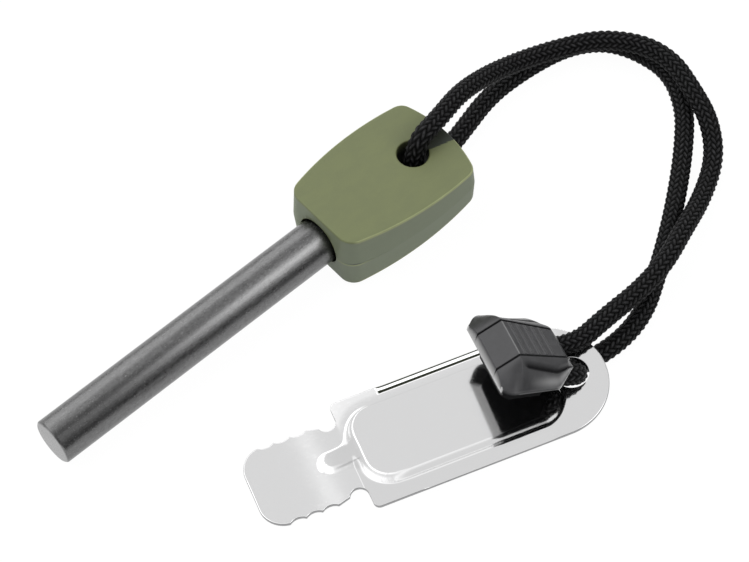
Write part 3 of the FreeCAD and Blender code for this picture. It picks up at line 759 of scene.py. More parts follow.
# Striker
def striker_half_outline(sizes):
    """Half of the outline, from the tab's end to the round end, and where its rows end.

    They end at points of the middle line, and from the first point whose number is given on, of the hole.
    """
    length = sizes.striker_length / MM
    half = sizes.striker_width / MM / 2
    tab = TAB_WIDTH / 2
    tab_end = TAB_END_STRAIGHT / 2
    bend = (tab - tab_end) * (1 - math.sqrt(0.5))
    tip = -SCALLOP_FIRST_DISTANCE - SCALLOP_COUNT * SCALLOP_PITCH
    corner = STRIKER_SHOULDER_CORNER
    turn = corner * (1 - math.sqrt(0.5))
    centre = length - half
    hole = length - STRIKER_HOLE_FROM_END
    radius = STRIKER_HOLE_DIAMETER / 2
    pole = POLE_FROM_TAB_END - TAB_LENGTH
    parts = [
        (line_points((-TAB_LENGTH, 0), (-TAB_LENGTH, tab_end), 8), pole, pole),
        (arc_points((-TAB_LENGTH, tab_end), (-TAB_LENGTH + bend, tab - bend), (tip, tab), 16), pole, pole),
    ]
    for _ in range(SCALLOP_COUNT):
        middle = (tip + SCALLOP_PITCH / 2, tab - SCALLOP_DEPTH)
        scallop = arc_points((tip, tab), middle, (tip + SCALLOP_PITCH, tab), 14)
        parts.append((scallop, pole, pole + POLE_STEP))
        tip += SCALLOP_PITCH
        pole += POLE_STEP
    poles = POLES_AT_NECK
    neck = [(-NECK_LENGTH, NECK_TAB_WIDTH / 2), (-NECK_LENGTH / 2, NECK_WIDTH / 2), (0, NECK_MOUTH_WIDTH / 2)]
    parts += [
        (line_points((-SCALLOP_FIRST_DISTANCE, tab), neck[0], 8), pole, poles[0]),
        (arc_points(*neck, 22), poles[0], poles[1]),
        (line_points(neck[2], (0, half - corner), 8), poles[1], poles[2]),
        (arc_points((0, half - corner), (turn, half - turn), (corner, half), 8), poles[2], poles[3]),
        (line_points((corner, half), (8, half), 34), poles[3], poles[4]),
        (line_points((8, half), (centre - 6, half), 40), poles[4], centre - 6),
        (line_points((centre - 6, half), (centre, half), 30), centre - 6, hole - radius),
    ]
    outline = np.concatenate([part for part, _, _ in parts])
    inside = np.concatenate([np.linspace(a, b, len(part) + 1)[:-1] for part, a, b in parts])
    middle = np.column_stack([inside, np.zeros(len(inside))])
    around = np.linspace(math.pi / 2, 0, 90)
    round_end = np.column_stack([centre + half * np.cos(around), half * np.sin(around)])
    rim = np.column_stack([hole + radius * np.cos(around * 2), radius * np.sin(around * 2)])
    return np.concatenate([outline, round_end]), np.concatenate([middle, rim]), len(outline)


def inside_box(u, v, start, end, width, corner):
    """Distance inside a rectangle with round corners, negative outside it."""
    across = np.abs(v) - width / 2 + corner
    along = np.abs(u - (start + end) / 2) - (end - start) / 2 + corner
    outside = np.hypot(np.maximum(along, 0), np.maximum(across, 0))
    return corner - outside - np.minimum(np.maximum(along, across), 0)


def inside_panel(sizes, u, v):
    end = sizes.striker_length / MM - STRIKER_HOLE_FROM_END - STRIKER_HOLE_DIAMETER / 2 - PANEL_TO_HOLE
    return inside_box(u, v, PANEL_START, end, PANEL_FOOT_WIDTH, PANEL_CORNER)


def inside_bead(u, v):
    return inside_box(u, v, -BEAD_END, PANEL_START + 2 * BEAD_CORNER, BEAD_FOOT_WIDTH, BEAD_CORNER)


def joined(first, second, fillet):
    """The greater of two distances, with a fillet where they meet: half of their sum and of a hyperbola."""
    return (first + second + np.hypot(first - second, fillet)) / 2


def pressed_height(sizes, u, v):
    """Height pressed into the sheet. The bead runs under the panel, and fills a share of what it leaves."""
    panel_distance = inside_panel(sizes, u, v)
    panel = PANEL_HEIGHT * rise(panel_distance, 0, PANEL_SLOPE_WIDTH)
    under = joined(inside_bead(u, v), panel_distance, BEAD_FILLET * rise(u, 10, -6, 0.1))
    bead = BEAD_HEIGHT * rise(under, 0, BEAD_SLOPE_WIDTH, 0.25)
    return panel + bead - panel * bead / PANEL_HEIGHT


def rim_drop(sizes, u, v):
    """How far the bands along the long edges lie under the sheet."""
    inner = sizes.striker_width / MM / 2 - RIM_WIDTH
    band = rise(np.abs(v), inner - RIM_STEP / 2, RIM_STEP, 0.3)
    return RIM_DROP * band * rise(u, RIM_START, RIM_RUN_OUT) * rise(u, RIM_END, -RIM_RUN_OUT)


def striker_plate(sizes):
    """Two halves of rows drawn from the outline to the middle line or the hole, over and under the sheet."""
    outline, middle, first_hole = striker_half_outline(sizes)
    reach = np.linalg.norm(middle - outline, axis=1)
    inwards = (middle - outline) / reach[:, None]
    near = np.array(EDGE_ROWS)[:, None] * np.minimum(1, reach / EDGE_ROWS_REACH)
    near[0] = EDGE_ROUNDING
    far = near[-1] + (reach - near[-1]) * (np.arange(1, INNER_ROWS + 1) / INNER_ROWS)[:, None]
    flat = outline + inwards * np.concatenate([near, far])[..., None]
    pressed = pressed_height(sizes, flat[..., 0], flat[..., 1])
    top = pressed - rim_drop(sizes, flat[..., 0], flat[..., 1])
    bottom = pressed - SHEET_THICKNESS
    rows = [at_height(*row) for row in zip(flat[::-1], top[::-1])]
    angles = np.linspace(0, math.pi / 2, 5)[1:]
    turn_in = EDGE_ROUNDING * (1 - np.sin(angles))
    turn_down = EDGE_ROUNDING * (1 - np.cos(angles))
    rows += [at_height(outline + inwards * a, top[0] - b) for a, b in zip(turn_in, turn_down)]
    turns = zip(turn_in[::-1], turn_down[::-1])
    rows += [at_height(outline + inwards * a, bottom[0] + b) for a, b in turns]
    for k in list(range(0, len(near), 2)) + list(range(len(near) + 1, len(flat), 2)):
        rows.append(at_height(flat[k], bottom[k]))
    columns = len(outline)
    sheet = np.concatenate(rows)
    wall = np.concatenate([rows[-1][first_hole:], rows[0][first_hole:]])
    half = np.concatenate([sheet, wall])
    wall_faces = grid_faces(2, columns - first_hole) + len(sheet)
    faces = np.concatenate([grid_faces(len(rows), columns), wall_faces])
    points = np.concatenate([half, half * (1, -1, 1)])
    place = striker_place(sizes)
    faces = np.concatenate([faces, faces[:, ::-1] + len(half)])
    plate = solid_object("striker", place, points, faces, 50)
    soften_slopes(sizes, plate, place)
    return plate


def soft_slopes(sizes, u, v):
    """The two slopes that the polished face is shaded with, and the painted shade of its slopes and creases,
    from 0 to 1.

    The pressing's own slopes are flattened, because a polished sheet mirrors a small white room. Its foot
    leans a little near the neck, where white lines run. The flanges lean outwards a little, the bands along
    the edges lean more, and their step and their outer border lean by the edge's tilt.
    """
    def foot(u, v):
        return joined(inside_bead(u, v), inside_panel(sizes, u, v), BEAD_FILLET)

    def slope(height, step=0.02):
        along = height(u + step, v) - height(u - step, v)
        across = height(u, v + step) - height(u, v - step)
        return np.stack([along, across]) / (2 * step)

    in_panel = inside_panel(sizes, u, v)
    out = np.abs(v) - sizes.striker_width / MM / 2
    near = rise(v, -3, -2) * rise(u, 40, -3) * rise(u, 5, 4)
    share = PRESSING_SHARE + (NEAR_PRESSING_SHARE - PRESSING_SHARE) * near
    lean = share * slope(lambda u, v: pressed_height(sizes, u, v))
    line = bell(foot(u, v), FOOT_LINE_PLACE, FOOT_LINE_WIDTH) * rise(u, 9, -6)
    lean = lean + FOOT_LEAN * line * np.maximum(rise(v, -1.2, 1), rise(u, 0.3, 1)) * slope(foot)
    line = bell(in_panel, SHOULDER_LINE_PLACE, SHOULDER_LINE_WIDTH) * rise(u, 9, -3)
    lean = lean + SHOULDER_LEAN * line * slope(lambda u, v: inside_panel(sizes, u, v))
    flange = rise(in_panel, 0, -0.8)
    tip = rise(u, 43, 4)
    along = rise(u, RIM_START, 0.5) * rise(u, RIM_END, -1.0)
    crease = rise(np.abs(out + RIM_WIDTH), CREASE_HALF_WIDTH, -0.1) + rise(out, -EDGE_ROUNDING - 0.2, 0.1)
    crease = along * np.clip(crease, 0, 1)
    band = along * rise(out, -RIM_WIDTH, 0.2)
    far_flange = FLANGE_LEAN * (0.65 * flange + 0.35 * rise(in_panel, 0, -2.4))
    flat = np.where(v > 0, far_flange, NEAR_FLANGE_LEAN * flange) * np.clip(np.abs(v) / 3, 0, 1)
    rest = np.maximum(CREASE_LEAN - BAND_LEAN + FLANGE_LEAN - flat, 0)
    ends = np.where(v > 0, rise(u, 40, -4) * rise(u, -1.5, 1.5), rise(u, -0.6, 0.4)) * (1 - tip)
    edge = np.sign(v) * ends * (flat + BAND_LEAN * band + rest * crease)
    pressed = np.clip(pressed_height(sizes, u, v) / PANEL_HEIGHT, 0, 1)
    # Painted shade greys the slopes, painted reflections of the dark horizon line the far creases, and a dark
    # line edges the bead
    shade = SLOPE_SHADE * np.sqrt(4 * pressed * (1 - pressed)) * rise(v, -5, 2)
    shade = np.maximum(shade, LINE_SHADE * crease * (v > 0))
    bead_line = bell(inside_bead(u, v), 0.3, 0.16) * (v < 0) * rise(u, 1.2 - BEAD_END, 1.5)
    shade = np.maximum(shade, BEAD_SHADE * bead_line * rise(u, PANEL_START + 0.6, -0.8))
    crown = TAB_CROWN * bell(u, TAB_CROWN_PLACE, TAB_CROWN_WIDTH)
    return lean[0] + crown, lean[1] - edge + NEAR_FLANGE_LEAN * tip * flange, shade


def soften_slopes(sizes, plate, place):
    """Gives each vertex of the upper face the normal of its soft slopes, and marks cut edges and painted
    crease shade.
    """
    u, v, w = place.local(plate.data).T
    lean_u, lean_v, shade = soft_slopes(sizes, u, v)
    normal = np.column_stack([-lean_u, -lean_v, np.ones(len(u))])
    normal /= np.linalg.norm(normal, axis=1)[:, None]
    top = pressed_height(sizes, u, v) - rim_drop(sizes, u, v)
    upper = np.abs(w - top) < 0.01
    world = np.where(upper[:, None], normal @ place.turn.T, 0)
    plate.data.normals_split_custom_set_from_vertices(world.tolist())
    sheared = (w < top - 0.03) & (w > top - SHEET_THICKNESS + 0.03)
    # The crease share is painted shade and painted dark reflection
    write_shares(plate.data, sheared=sheared, crease=shade * upper)


# Clip
def rim_half_width(x, y):
    """Half of the rim's width, its corners rounded: the mean of the straight outline over a short run.

    The far wing, where y is above 0, reaches further towards the cord, and its corner further out.
    """
    places, widths = np.array(CLIP_RIM).T
    far = np.asarray(y) > 0
    back = FAR_WING_SHIFT * far * rise(x, 4, 6) * rise(x, 17.3, -1.5)
    run = np.linspace(-CLIP_CORNER_RUN, CLIP_CORNER_RUN, 13)
    inside = np.clip((x - back)[..., None] + run, places[0], places[-1])
    return np.mean(np.interp(inside, places, widths), -1) + FAR_CORNER_REACH * far * bell(x, 3.3, 1.6)


def roof_half_width(x):
    places = [x for x, _, _ in CLIP_ROOF] + [CLIP_RIM[-1][0]]
    widths = [y for _, y, _ in CLIP_ROOF] + [CLIP_RIM[-1][1]]
    return np.interp(x, places, widths)


def wing_groove_share(x):
    """How far out on a wing its groove runs: further out towards the cord."""
    return 0.27 + 0.025 * (x - 4)


def cap_height(x, y):
    """Height of the cap: a roof of three slopes, and wings that fall from its sides to the rim.

    A wing's height is the roof's beside it, times what is left of the way out to the rim, with a shallow
    groove along the wing that fades towards the closed end.
    """
    stops = [x for x, _, _ in CLIP_ROOF] + [CLIP_RIM[-1][0]]
    heights = [z for _, _, z in CLIP_ROOF] + [0.0]
    run = np.linspace(-CLIP_FACET_ROUNDING, CLIP_FACET_ROUNDING, 7)
    roof = np.mean(np.interp(x[..., None] + run, stops, heights), -1)
    side = roof_half_width(x)
    share = np.clip((np.abs(y) - side) / np.maximum(rim_half_width(x, y) - side, 0.05), -1, 1)
    worn = (share + np.hypot(share, CLIP_WING_ROUNDING) - CLIP_WING_ROUNDING / 2) / 2
    groove = bell(share, wing_groove_share(x), 0.1) * rise(x, 3.9, 1.6) * rise(x, 16.5, -2)
    return roof * (1 - np.clip(worn, 0, 1) ** CLIP_WING_CURVE) - CLIP_WING_GROOVE_DEPTH * groove


def panel_slant():
    """How much longer the sloping panel is than its plan."""
    return math.hypot(1, (CLIP_ROOF[1][2] - CLIP_ROOF[2][2]) / (CLIP_LIP_DISTANCE - CLIP_RIDGE_DISTANCE))


def clip_relief(x, y):
    """Ribs across the sloping panel, and grooves at both ends of the middle band."""
    along = (x - CLIP_RIDGE_DISTANCE) * panel_slant()
    edge = roof_half_width(x) - np.abs(y)
    relief = np.zeros(x.shape)
    for index in range(CLIP_RIB_COUNT):
        off = np.abs(along - CLIP_RIB_FIRST - index * CLIP_RIB_PITCH)
        relief = relief + CLIP_RIB_HEIGHT * rise(off, CLIP_RIB_WIDTH / 2, -CLIP_RIB_SLOPE_WIDTH)
    half = CLIP_END_GROOVE_WIDTH / 2
    groove = rise(np.abs(edge - half), half, -0.12) * rise(x, CLIP_LIP_DISTANCE, -0.4)
    return relief * rise(edge, CLIP_END_GROOVE_WIDTH, 0.15) - CLIP_END_GROOVE_DEPTH * groove


def clip_rows():
    """Distances of the cap's rows from its closed end, closer at the ridge, the ribs and the lip."""
    runs = ((0.9, 3.4, 0.3), (3.5, 4.15, 0.06), (4.3, 14.6, 0.4), (14.6, 15.4, 0.08))
    rows = [CLIP_RIM_ROUNDING, 0.3, 0.6, 15.8, 16.3, 16.7, CLIP_RIM[-1][0] - CLIP_RIM_ROUNDING]
    for run in runs:
        rows += list(np.arange(*run))
    for index in range(CLIP_RIB_COUNT):
        middle = CLIP_RIDGE_DISTANCE + (CLIP_RIB_FIRST + index * CLIP_RIB_PITCH) / panel_slant()
        rows += [middle + step * hand for step in CLIP_RIB_ROWS for hand in (1, -1)]
    rows = np.array(sorted(set(np.round(rows, 3))))
    return rows[np.concatenate([[True], np.diff(rows) > 0.03])]


def clip_upper(sizes):
    """The cap as a height over its plan, then a rounded rim, a drawn-in skirt and a flat underside."""
    xs = clip_rows()
    groove = CLIP_END_GROOVE_WIDTH + np.array([0.03, 0.1, 0.17])
    inside = np.array([0.0, 0.06, 0.12, 0.2, 0.27, 0.33, *groove, 0.8, 1.6, 2.6])
    sides = []
    for hand in (1.0, -1.0):
        half = rim_half_width(xs, hand) - CLIP_RIM_ROUNDING
        roof = np.minimum(roof_half_width(xs), half - 0.01)
        band = roof[:, None] - inside * np.minimum(1, roof[:, None] / 4)
        wings = half[:, None] + (roof - half)[:, None] * np.linspace(0, 1, 30)
        sides.append(hand * np.concatenate([wings[:, :-1], band], 1))
    y = np.concatenate([sides[0], np.zeros((len(xs), 1)), sides[1][:, ::-1]], 1)
    x = np.repeat(xs[:, None], y.shape[1], 1)
    points = np.stack([x, y, cap_height(x, y) + clip_relief(x, y)], -1).reshape(-1, 3)
    index = np.arange(x.size).reshape(x.shape)
    loop = np.concatenate([index[0, :-1], index[:-1, -1], index[-1, :0:-1], index[:0:-1, 0]])
    edge = points[loop]
    normals = outline_normals(edge[:, :2])
    outer = edge[:, :2] + normals * CLIP_RIM_ROUNDING
    if np.ptp(outer[:, 1]) < np.ptp(edge[:, 1]):
        normals = -normals
        outer = edge[:, :2] + normals * CLIP_RIM_ROUNDING
    skirt = shrunk(outer, np.array([CLIP_SKIRT_INSET, CLIP_SIDE_INSET]))
    closed = rise(edge[:, 0], 3, -2.5)
    rim_under = -CLIP_RIM_THICKNESS - (CLIP_CLOSED_THICKNESS - CLIP_RIM_THICKNESS) * closed
    rings = [
        edge,
        at_height(outer - normals * 0.045, np.maximum(edge[:, 2] - 0.06, 0.02)),
        at_height(outer, np.maximum(edge[:, 2] - 0.16, -0.02)),
        at_height(outer, rim_under + 0.12),
        at_height(outer - normals * 0.04, rim_under + 0.03),
        at_height(outer - normals * 0.14, rim_under),
        at_height(skirt, rim_under),
        at_height(skirt, CLIP_SEAM_CHAMFER - CLIP_SEAM_DROP),
        at_height(shrunk(skirt, 0.1), -CLIP_SEAM_DROP),
    ]
    count = len(loop)
    faces = grid_faces(*x.shape)[:, ::-1].tolist()
    faces += (grid_faces(len(rings), count, closed=True) + len(points)).tolist()
    last = len(points) + (len(rings) - 1) * count
    faces.append(range(last, last + count))
    return clip_shell(sizes, "clip_cap", np.concatenate([points] + rings), faces)


def clip_lower(sizes):
    """The base below the seam, drawn in towards its flat underside."""
    corners = np.array(CLIP_RIM + [(x, -y) for x, y in reversed(CLIP_RIM)], float)[::-1]
    skirt = shrunk(resampled(corners, 240), np.array([CLIP_SKIRT_INSET, CLIP_SIDE_INSET]))
    base = shrunk(skirt, CLIP_BASE_INSET)
    rings = [
        at_height(shrunk(skirt, 0.1), -CLIP_SEAM_DROP),
        at_height(skirt, -CLIP_SEAM_DROP - CLIP_SEAM_CHAMFER),
        at_height(base + (skirt - base) * 0.12, -CLIP_BASE_DROP + 0.3),
        at_height(base, -CLIP_BASE_DROP + 0.06),
        at_height(shrunk(base, 0.2), -CLIP_BASE_DROP),
    ]
    count = len(skirt)
    faces = grid_faces(len(rings), count, closed=True).tolist()
    faces += [range(count)[::-1], range((len(rings) - 1) * count, len(rings) * count)]
    return clip_shell(sizes, "clip_base", np.concatenate(rings), faces)


def clip_shell(sizes, name, points, faces):
    """A half of the clip, with a groove for each strand, widened at the mouth."""
    shell = solid_object(name, clip_place(), points, faces, 40)
    length = sizes.clip_length / MM
    radius = sizes.cord_diameter / MM / 2 + GROOVE_GAP
    start = length - GROOVE_DEPTH
    profile = [(start, 0), (start, radius), (length - 1.0, radius), (length - 0.4, radius + 0.1),
               (length + 2, radius + 0.5), (length + 2, 0)]
    cutters = []
    for side in (1, -1):
        place = clip_place()
        place.shift += place.turn @ (0, side * GROOVE_SPACING / 2, -CLIP_SEAM_DROP)
        cutters.append(turned_solid("groove", place, profile, 48))
    cut(shell, cutters, 40)
    mark_clip(shell)
    return shell


def mark_clip(shell):
    """Shares 0 to 1: painted shade on the underside and in the grooves, painted highlights on edges, ridge
    and wings.
    """
    x, y, z = clip_place().local(shell.data).T
    edge = roof_half_width(x) - np.abs(y)
    closed_edge = (x < 0.05) & (z > 0.1 - CLIP_CLOSED_THICKNESS) & (z < 0.2)
    # Painted shade on the underside, the end grooves and the wing grooves
    under = (z < 0.1 - CLIP_RIM_THICKNESS) & ~closed_edge
    groove = bell(edge, CLIP_END_GROOVE_WIDTH / 2, 0.2) * (z > 0.3) * (x < CLIP_LIP_DISTANCE)
    share = -edge / np.maximum(rim_half_width(x, y) - roof_half_width(x), 0.05)
    wing_groove = 0.9 * bell(share, wing_groove_share(x), 0.09) * rise(x, 3.9, 1.6) * (z > 0.1)
    # Painted highlights on the wings, the cut rim, the closed edge, the end face and the ridge
    worn = 0.35 * bell(share, 0.8, 0.13) * rise(x, 5, 5) * (z > 0.1)
    worn = np.maximum(worn, 0.5 * (share > 0.96) * rise(x, 11, 1) * (z > -CLIP_RIM_THICKNESS))
    end_face = (x < CLIP_SKIRT_INSET + 0.3) * (z < 0.1 - CLIP_CLOSED_THICKNESS) * (np.abs(y) < 8.2)
    ridge = 0.4 * bell(x, CLIP_RIDGE_DISTANCE + 0.1, 0.12) * (edge > 0.5) * (z > 2)
    dim = np.maximum(np.maximum(under * (end_face == 0), groove), wing_groove)
    rubbed = np.maximum(np.maximum(closed_edge, ridge), np.maximum(worn, end_face))
    write_shares(shell.data, dim=dim, rubbed=rubbed)


# Lanyard cord
def clip_cord_points(sizes, side):
    """Where the cord ends in the clip, and the point it turns at outside the mouth."""
    length = sizes.clip_length / MM
    y = side * GROOVE_SPACING / 2
    return clip_place().points([
        (length - GROOVE_DEPTH + CORD_END_GAP, y, -CLIP_SEAM_DROP),
        (length + CORD_STRAIGHT_AT_CLIP, y, -CLIP_SEAM_DROP),
    ])


def cord_line(sizes):
    """Points read from the NURBS spline of the cord's route."""
    route = (np.array(ROUTE) + BORE_PLACE) * MM
    controls = np.concatenate([clip_cord_points(sizes, 1), route, clip_cord_points(sizes, -1)[::-1]])
    curve = bpy.data.curves.new("lanyard_route", "CURVE")
    curve.dimensions = "3D"
    curve.resolution_u = ROUTE_RESOLUTION
    spline = curve.splines.new("NURBS")
    spline.points.add(len(controls) - 1)
    spline.points.foreach_set("co", np.column_stack([controls, np.ones(len(controls))]).ravel())
    spline.order_u = 3
    spline.use_endpoint_u = True
    holder = bpy.data.objects.new("lanyard_route", curve)
    bpy.context.scene.collection.objects.link(holder)
    bpy.context.view_layer.update()
    mesh = bpy.data.meshes.new_from_object(holder.evaluated_get(bpy.context.evaluated_depsgraph_get()))
    line = vertices(mesh)
    bpy.data.objects.remove(holder)
    bpy.data.curves.remove(curve)
    bpy.data.meshes.remove(mesh)
    return line


def carried_frames(points):
    """Unit vectors across a line, without twist: each is the one before it, made square to the line."""
    tangent = np.gradient(points, axis=0)
    tangent /= np.linalg.norm(tangent, axis=1)[:, None]
    across = np.empty_like(points)
    start = np.cross(tangent[0], (0, 0, 1))
    across[0] = start / np.linalg.norm(start)
    for index in range(1, len(points)):
        turned_on = across[index - 1] - tangent[index] * (across[index - 1] @ tangent[index])
        across[index] = turned_on / np.linalg.norm(turned_on)
    return across, np.cross(tangent, across)


def hump(value):
    """Half a sine between 0 and 1, for an array or a signal."""
    if isinstance(value, Signal):
        return (value * math.pi).math("SINE").math("MAXIMUM", 0.0)
    return np.maximum(np.sin(value * math.pi), 0)


def floor(value):
    return value.math("FLOOR") if isinstance(value, Signal) else np.floor(value)


def braid(along, around):
    """Height of a herringbone braid, 0 to 1, and the place across a yarn, by pitches along and turns around.

    Two families of yarns climb to the left and to the right. Each floats over two of the other family and
    dives under two, so the floats stand in columns. A float's height is a half sine across it, times a half
    sine along it.
    """
    left = around * BRAID_YARNS + along
    right = around * BRAID_YARNS - along
    left_cell = floor(left)
    right_cell = floor(right)
    left_shows = (left_cell + right_cell) % 4 < 1.5
    across = (left - left_cell) * left_shows + (right - right_cell) * (1 - left_shows)
    left_run = (left_cell + right) % 4 / 2
    right_run = ((left + right_cell) % 4 - 2) / 2
    run = left_run * left_shows + right_run * (1 - left_shows)
    return hump(across) ** 0.7 * (hump(run) ** 0.8 * 0.65 + 0.35), across


def lanyard_cord(sizes):
    """A tube along the route's spline, its radius lowered between the yarns of its braid."""
    line = cord_line(sizes)
    length = float(distances(line)[-1])
    along = np.linspace(0, length, BRAID_ROWS)
    points = read_at(line, along)
    across, up = carried_frames(points)
    ring = np.arange(BRAID_COLUMNS)
    around = ring / BRAID_COLUMNS
    angle = around * 2 * math.pi
    height, _ = braid(*np.meshgrid(along / MM / BRAID_PITCH, around, indexing="ij"))
    reach = sizes.cord_diameter / 2 + (BRAID_CROWN - BRAID_RELIEF * (1 - height)) * MM
    circle = np.cos(angle)[None, :, None] * across[:, None] + np.sin(angle)[None, :, None] * up[:, None]
    tube = points[:, None] + circle * reach[..., None]
    faces = grid_faces(BRAID_ROWS, BRAID_COLUMNS, closed=True)[:, ::-1].tolist()
    last_row = (BRAID_ROWS - 1) * BRAID_COLUMNS
    centre = BRAID_ROWS * BRAID_COLUMNS
    following = (ring + 1) % BRAID_COLUMNS
    faces += [(a, b, centre) for a, b in zip(ring, following)]
    faces += [(last_row + b, last_row + a, centre + 1) for a, b in zip(ring, following)]
    cord = mesh_object("lanyard_braid", np.concatenate([tube.reshape(-1, 3), points[[0, -1]]]), faces)
    turns = np.arange(BRAID_COLUMNS + 1) / BRAID_COLUMNS
    corner_rows = np.repeat(np.arange(BRAID_ROWS - 1), BRAID_COLUMNS)
    corner_columns = np.tile(ring, BRAID_ROWS - 1)
    wall = np.stack([
        np.stack([turns[corner_columns + dx], along[corner_rows + dy] / MM / BRAID_UV_LENGTH], -1)
        for dx, dy in ((0, 1), (1, 1), (1, 0), (0, 0))
    ], 1).reshape(-1, 2)
    uv = np.zeros((len(cord.data.loops), 2))
    uv[:len(wall)] = wall
    cord.data.uv_layers.new(name="braid").data.foreach_set("uv", uv.ravel())
    return cord, points, length


# Materials
def cord_material(sizes):
    """Black polyester: painted highlights on the yarns' crowns, painted shade between them, fine filaments
    along each.
    """
    finish = Finish(bpy.data.materials.new("black braid"))
    place = finish.node("UVMap", {"uv_map": "braid"})
    height, across = braid(finish.axis(place, "Y") * (BRAID_UV_LENGTH / BRAID_PITCH), finish.axis(place, "X"))
    black = tuple(sizes.cord_colour)
    # Painted shade: the valleys between the yarns are darkened
    colour = finish.mix(height.ramp(0.3, 0.8), scaled(black, 0.08), black)
    mottle = finish.noise(finish.coordinates(), 1.3, 3)
    # Painted highlight: the crowns of the yarns are lightened
    light = height.ramp(0.7, 1.0) * (mottle.ramp(0.3, 0.65) * 0.8 + 0.2)
    colour = finish.mix(light, colour, scaled(black, 3.4))
    filaments = (across * (7 * 2 * math.pi)).math("SINE") * 0.03
    relief = height + filaments + finish.noise(finish.coordinates(), 7.0, 2) * 0.12
    rough = 0.6 - height * 0.15
    return finish.surface(relief, 0.4, 0.8, Base_Color=colour, Roughness=rough, Specular_IOR_Level=0.1)


def rod_material(sizes):
    """Dull grey metal, scuffed along and across, with pits; painted shade at the collar, painted light and
    dark bands.
    """
    finish = Finish(bpy.data.materials.new("ferrocerium"))
    place = handle_place(sizes)
    local = finish.coordinates(place)
    streak = finish.noise(finish.coordinates(place, (0.12, 1, 1)), 2.2, 4, 0.6)
    scuff = 0
    for turn in ((0.6, 0.5, 0.9), (-0.4, 0.7, -0.8)):
        slanted = finish.node("Mapping", None, {"Vector": local, "Rotation": turn, "Scale": (0.6, 5.0, 5.0)})
        scuff = finish.noise(slanted, 1.3, 3, 0.7) * 0.5 + scuff
    mottle = finish.noise(local, 1.1, 4, 0.7)
    speck = finish.noise(local, 4.2, 2, 0.6).ramp(0.64, 0.7)
    along = finish.axis(local, "X")
    radius = sizes.rod_diameter / MM / 2
    across = finish.axis(local, "Y") * (1 / radius)
    upwards = finish.axis(local, "Z") * (1 / radius)
    # Painted shade: the rod darkens where it enters the handle's collar
    seated = along.ramp(-1.4 - HANDLE_FRONT_REACH, -0.1 - HANDLE_FRONT_REACH)
    # Painted highlight: a band where the rod's second highlight lies, lighter towards the handle, darker
    # towards the tip
    struck = (across * -0.53 + upwards * 0.85).ramp(0.9, 0.985)
    # Painted shade: a darker band along the rod's top
    dull = (across * -0.16 + upwards * 0.99).ramp(0.95, 0.99)
    cut_face = along.ramp(0.2 - sizes.rod_exposed / MM, 0.05 - sizes.rod_exposed / MM)
    shade = 0.7 + streak * 0.24 + mottle.ramp(0.3, 0.7) * 0.16 + scuff.ramp(0.52, 0.66) * 0.4
    # Painted shade at the collar, and a painted highlight band along the rod
    shade = shade * (1 - seated * 0.7) * (1 + struck * (along.ramp(-60, -8) * 0.95 - 0.5))
    # Painted shade of the dark band along the top
    shade = shade * (1 - dull * 0.14) * (1 + cut_face * 0.9)
    colour = finish.mix(shade * 0.4, (0, 0, 0), (0.47, 0.47, 0.472))
    colour = finish.mix(speck * 0.35, colour, (0.55, 0.55, 0.55))
    relief = streak * 0.5 + scuff * 0.9 + mottle * 0.3 - speck * 0.6
    rough = 0.13 + mottle * 0.16 + scuff * 0.16
    return finish.surface(relief, 0.05, 0.5, Base_Color=colour, Roughness=rough, Metallic=1.0)


def handle_material(sizes):
    """Moulded plastic: fine grain and flow marks, with a painted rim highlight, side sheen, and bore and
    collar shade.
    """
    finish = Finish(bpy.data.materials.new("olive plastic"))
    place = handle_place(sizes)
    grain = finish.noise(finish.coordinates(place), 5.0, 3)
    flow = finish.noise(finish.coordinates(place, (0.5, 1, 1.6)), 0.35, 3, 0.6)
    green = tuple(sizes.handle_colour)
    colour = finish.mix(flow.ramp(0.3, 0.7), scaled(green, 0.95), scaled(green, 1.05))
    colour = finish.mix(grain.ramp(0.35, 0.65) * 0.08, colour, scaled(green, 0.6))
    # Painted reflection: pales the sides and tints them bluish
    colour = finish.mix(finish.attribute("bloom") * (0.3 + flow * 0.2), colour, (0.175, 0.205, 0.17))
    # Painted highlight: lightens the top's edge
    colour = finish.mix(finish.attribute("rim") * (0.3 + flow * 0.35), colour, (0.42, 0.45, 0.22))
    # Painted shade: darkens the bore, the collar and the upper seam's front corner
    colour = finish.mix(finish.attribute("grime"), colour, scaled(green, 0.1))
    rough = 0.5 + flow * 0.14 + grain * 0.05
    return finish.surface(grain + flow, 0.012, 0.3, Base_Color=colour, Roughness=rough,
                          Specular_IOR_Level=0.8, Specular_Tint=(0.86, 0.96, 1.0, 1))


def striker_material(sizes):
    """Polished sheet with fine scratches across it, faint cloudy wear, grey cut edges and painted shade in
    its creases.
    """
    finish = Finish(bpy.data.materials.new("polished steel"))
    place = striker_place(sizes)
    cloud = finish.noise(finish.coordinates(place), 0.25, 3, 0.5)
    scratch = finish.noise(finish.coordinates(place, (0.25, 7, 1)), 1.4, 3, 0.7).ramp(0.6, 0.75)
    sheared = finish.attribute("sheared")
    colour = finish.mix(cloud * 0.1 + scratch * 0.06, (0.915, 0.915, 0.918), (0.78, 0.78, 0.785))
    colour = finish.mix(sheared, colour, (0.36, 0.36, 0.365))
    # Painted shade and painted dark reflections on the slopes and creases
    colour = finish.mix(finish.attribute("crease"), colour, (0.03, 0.03, 0.03))
    rough = 0.07 + cloud * 0.05 + scratch * 0.08 + sheared * 0.25
    return finish.surface(scratch, 0.004, 0.3, Base_Color=colour, Roughness=rough, Metallic=1.0)


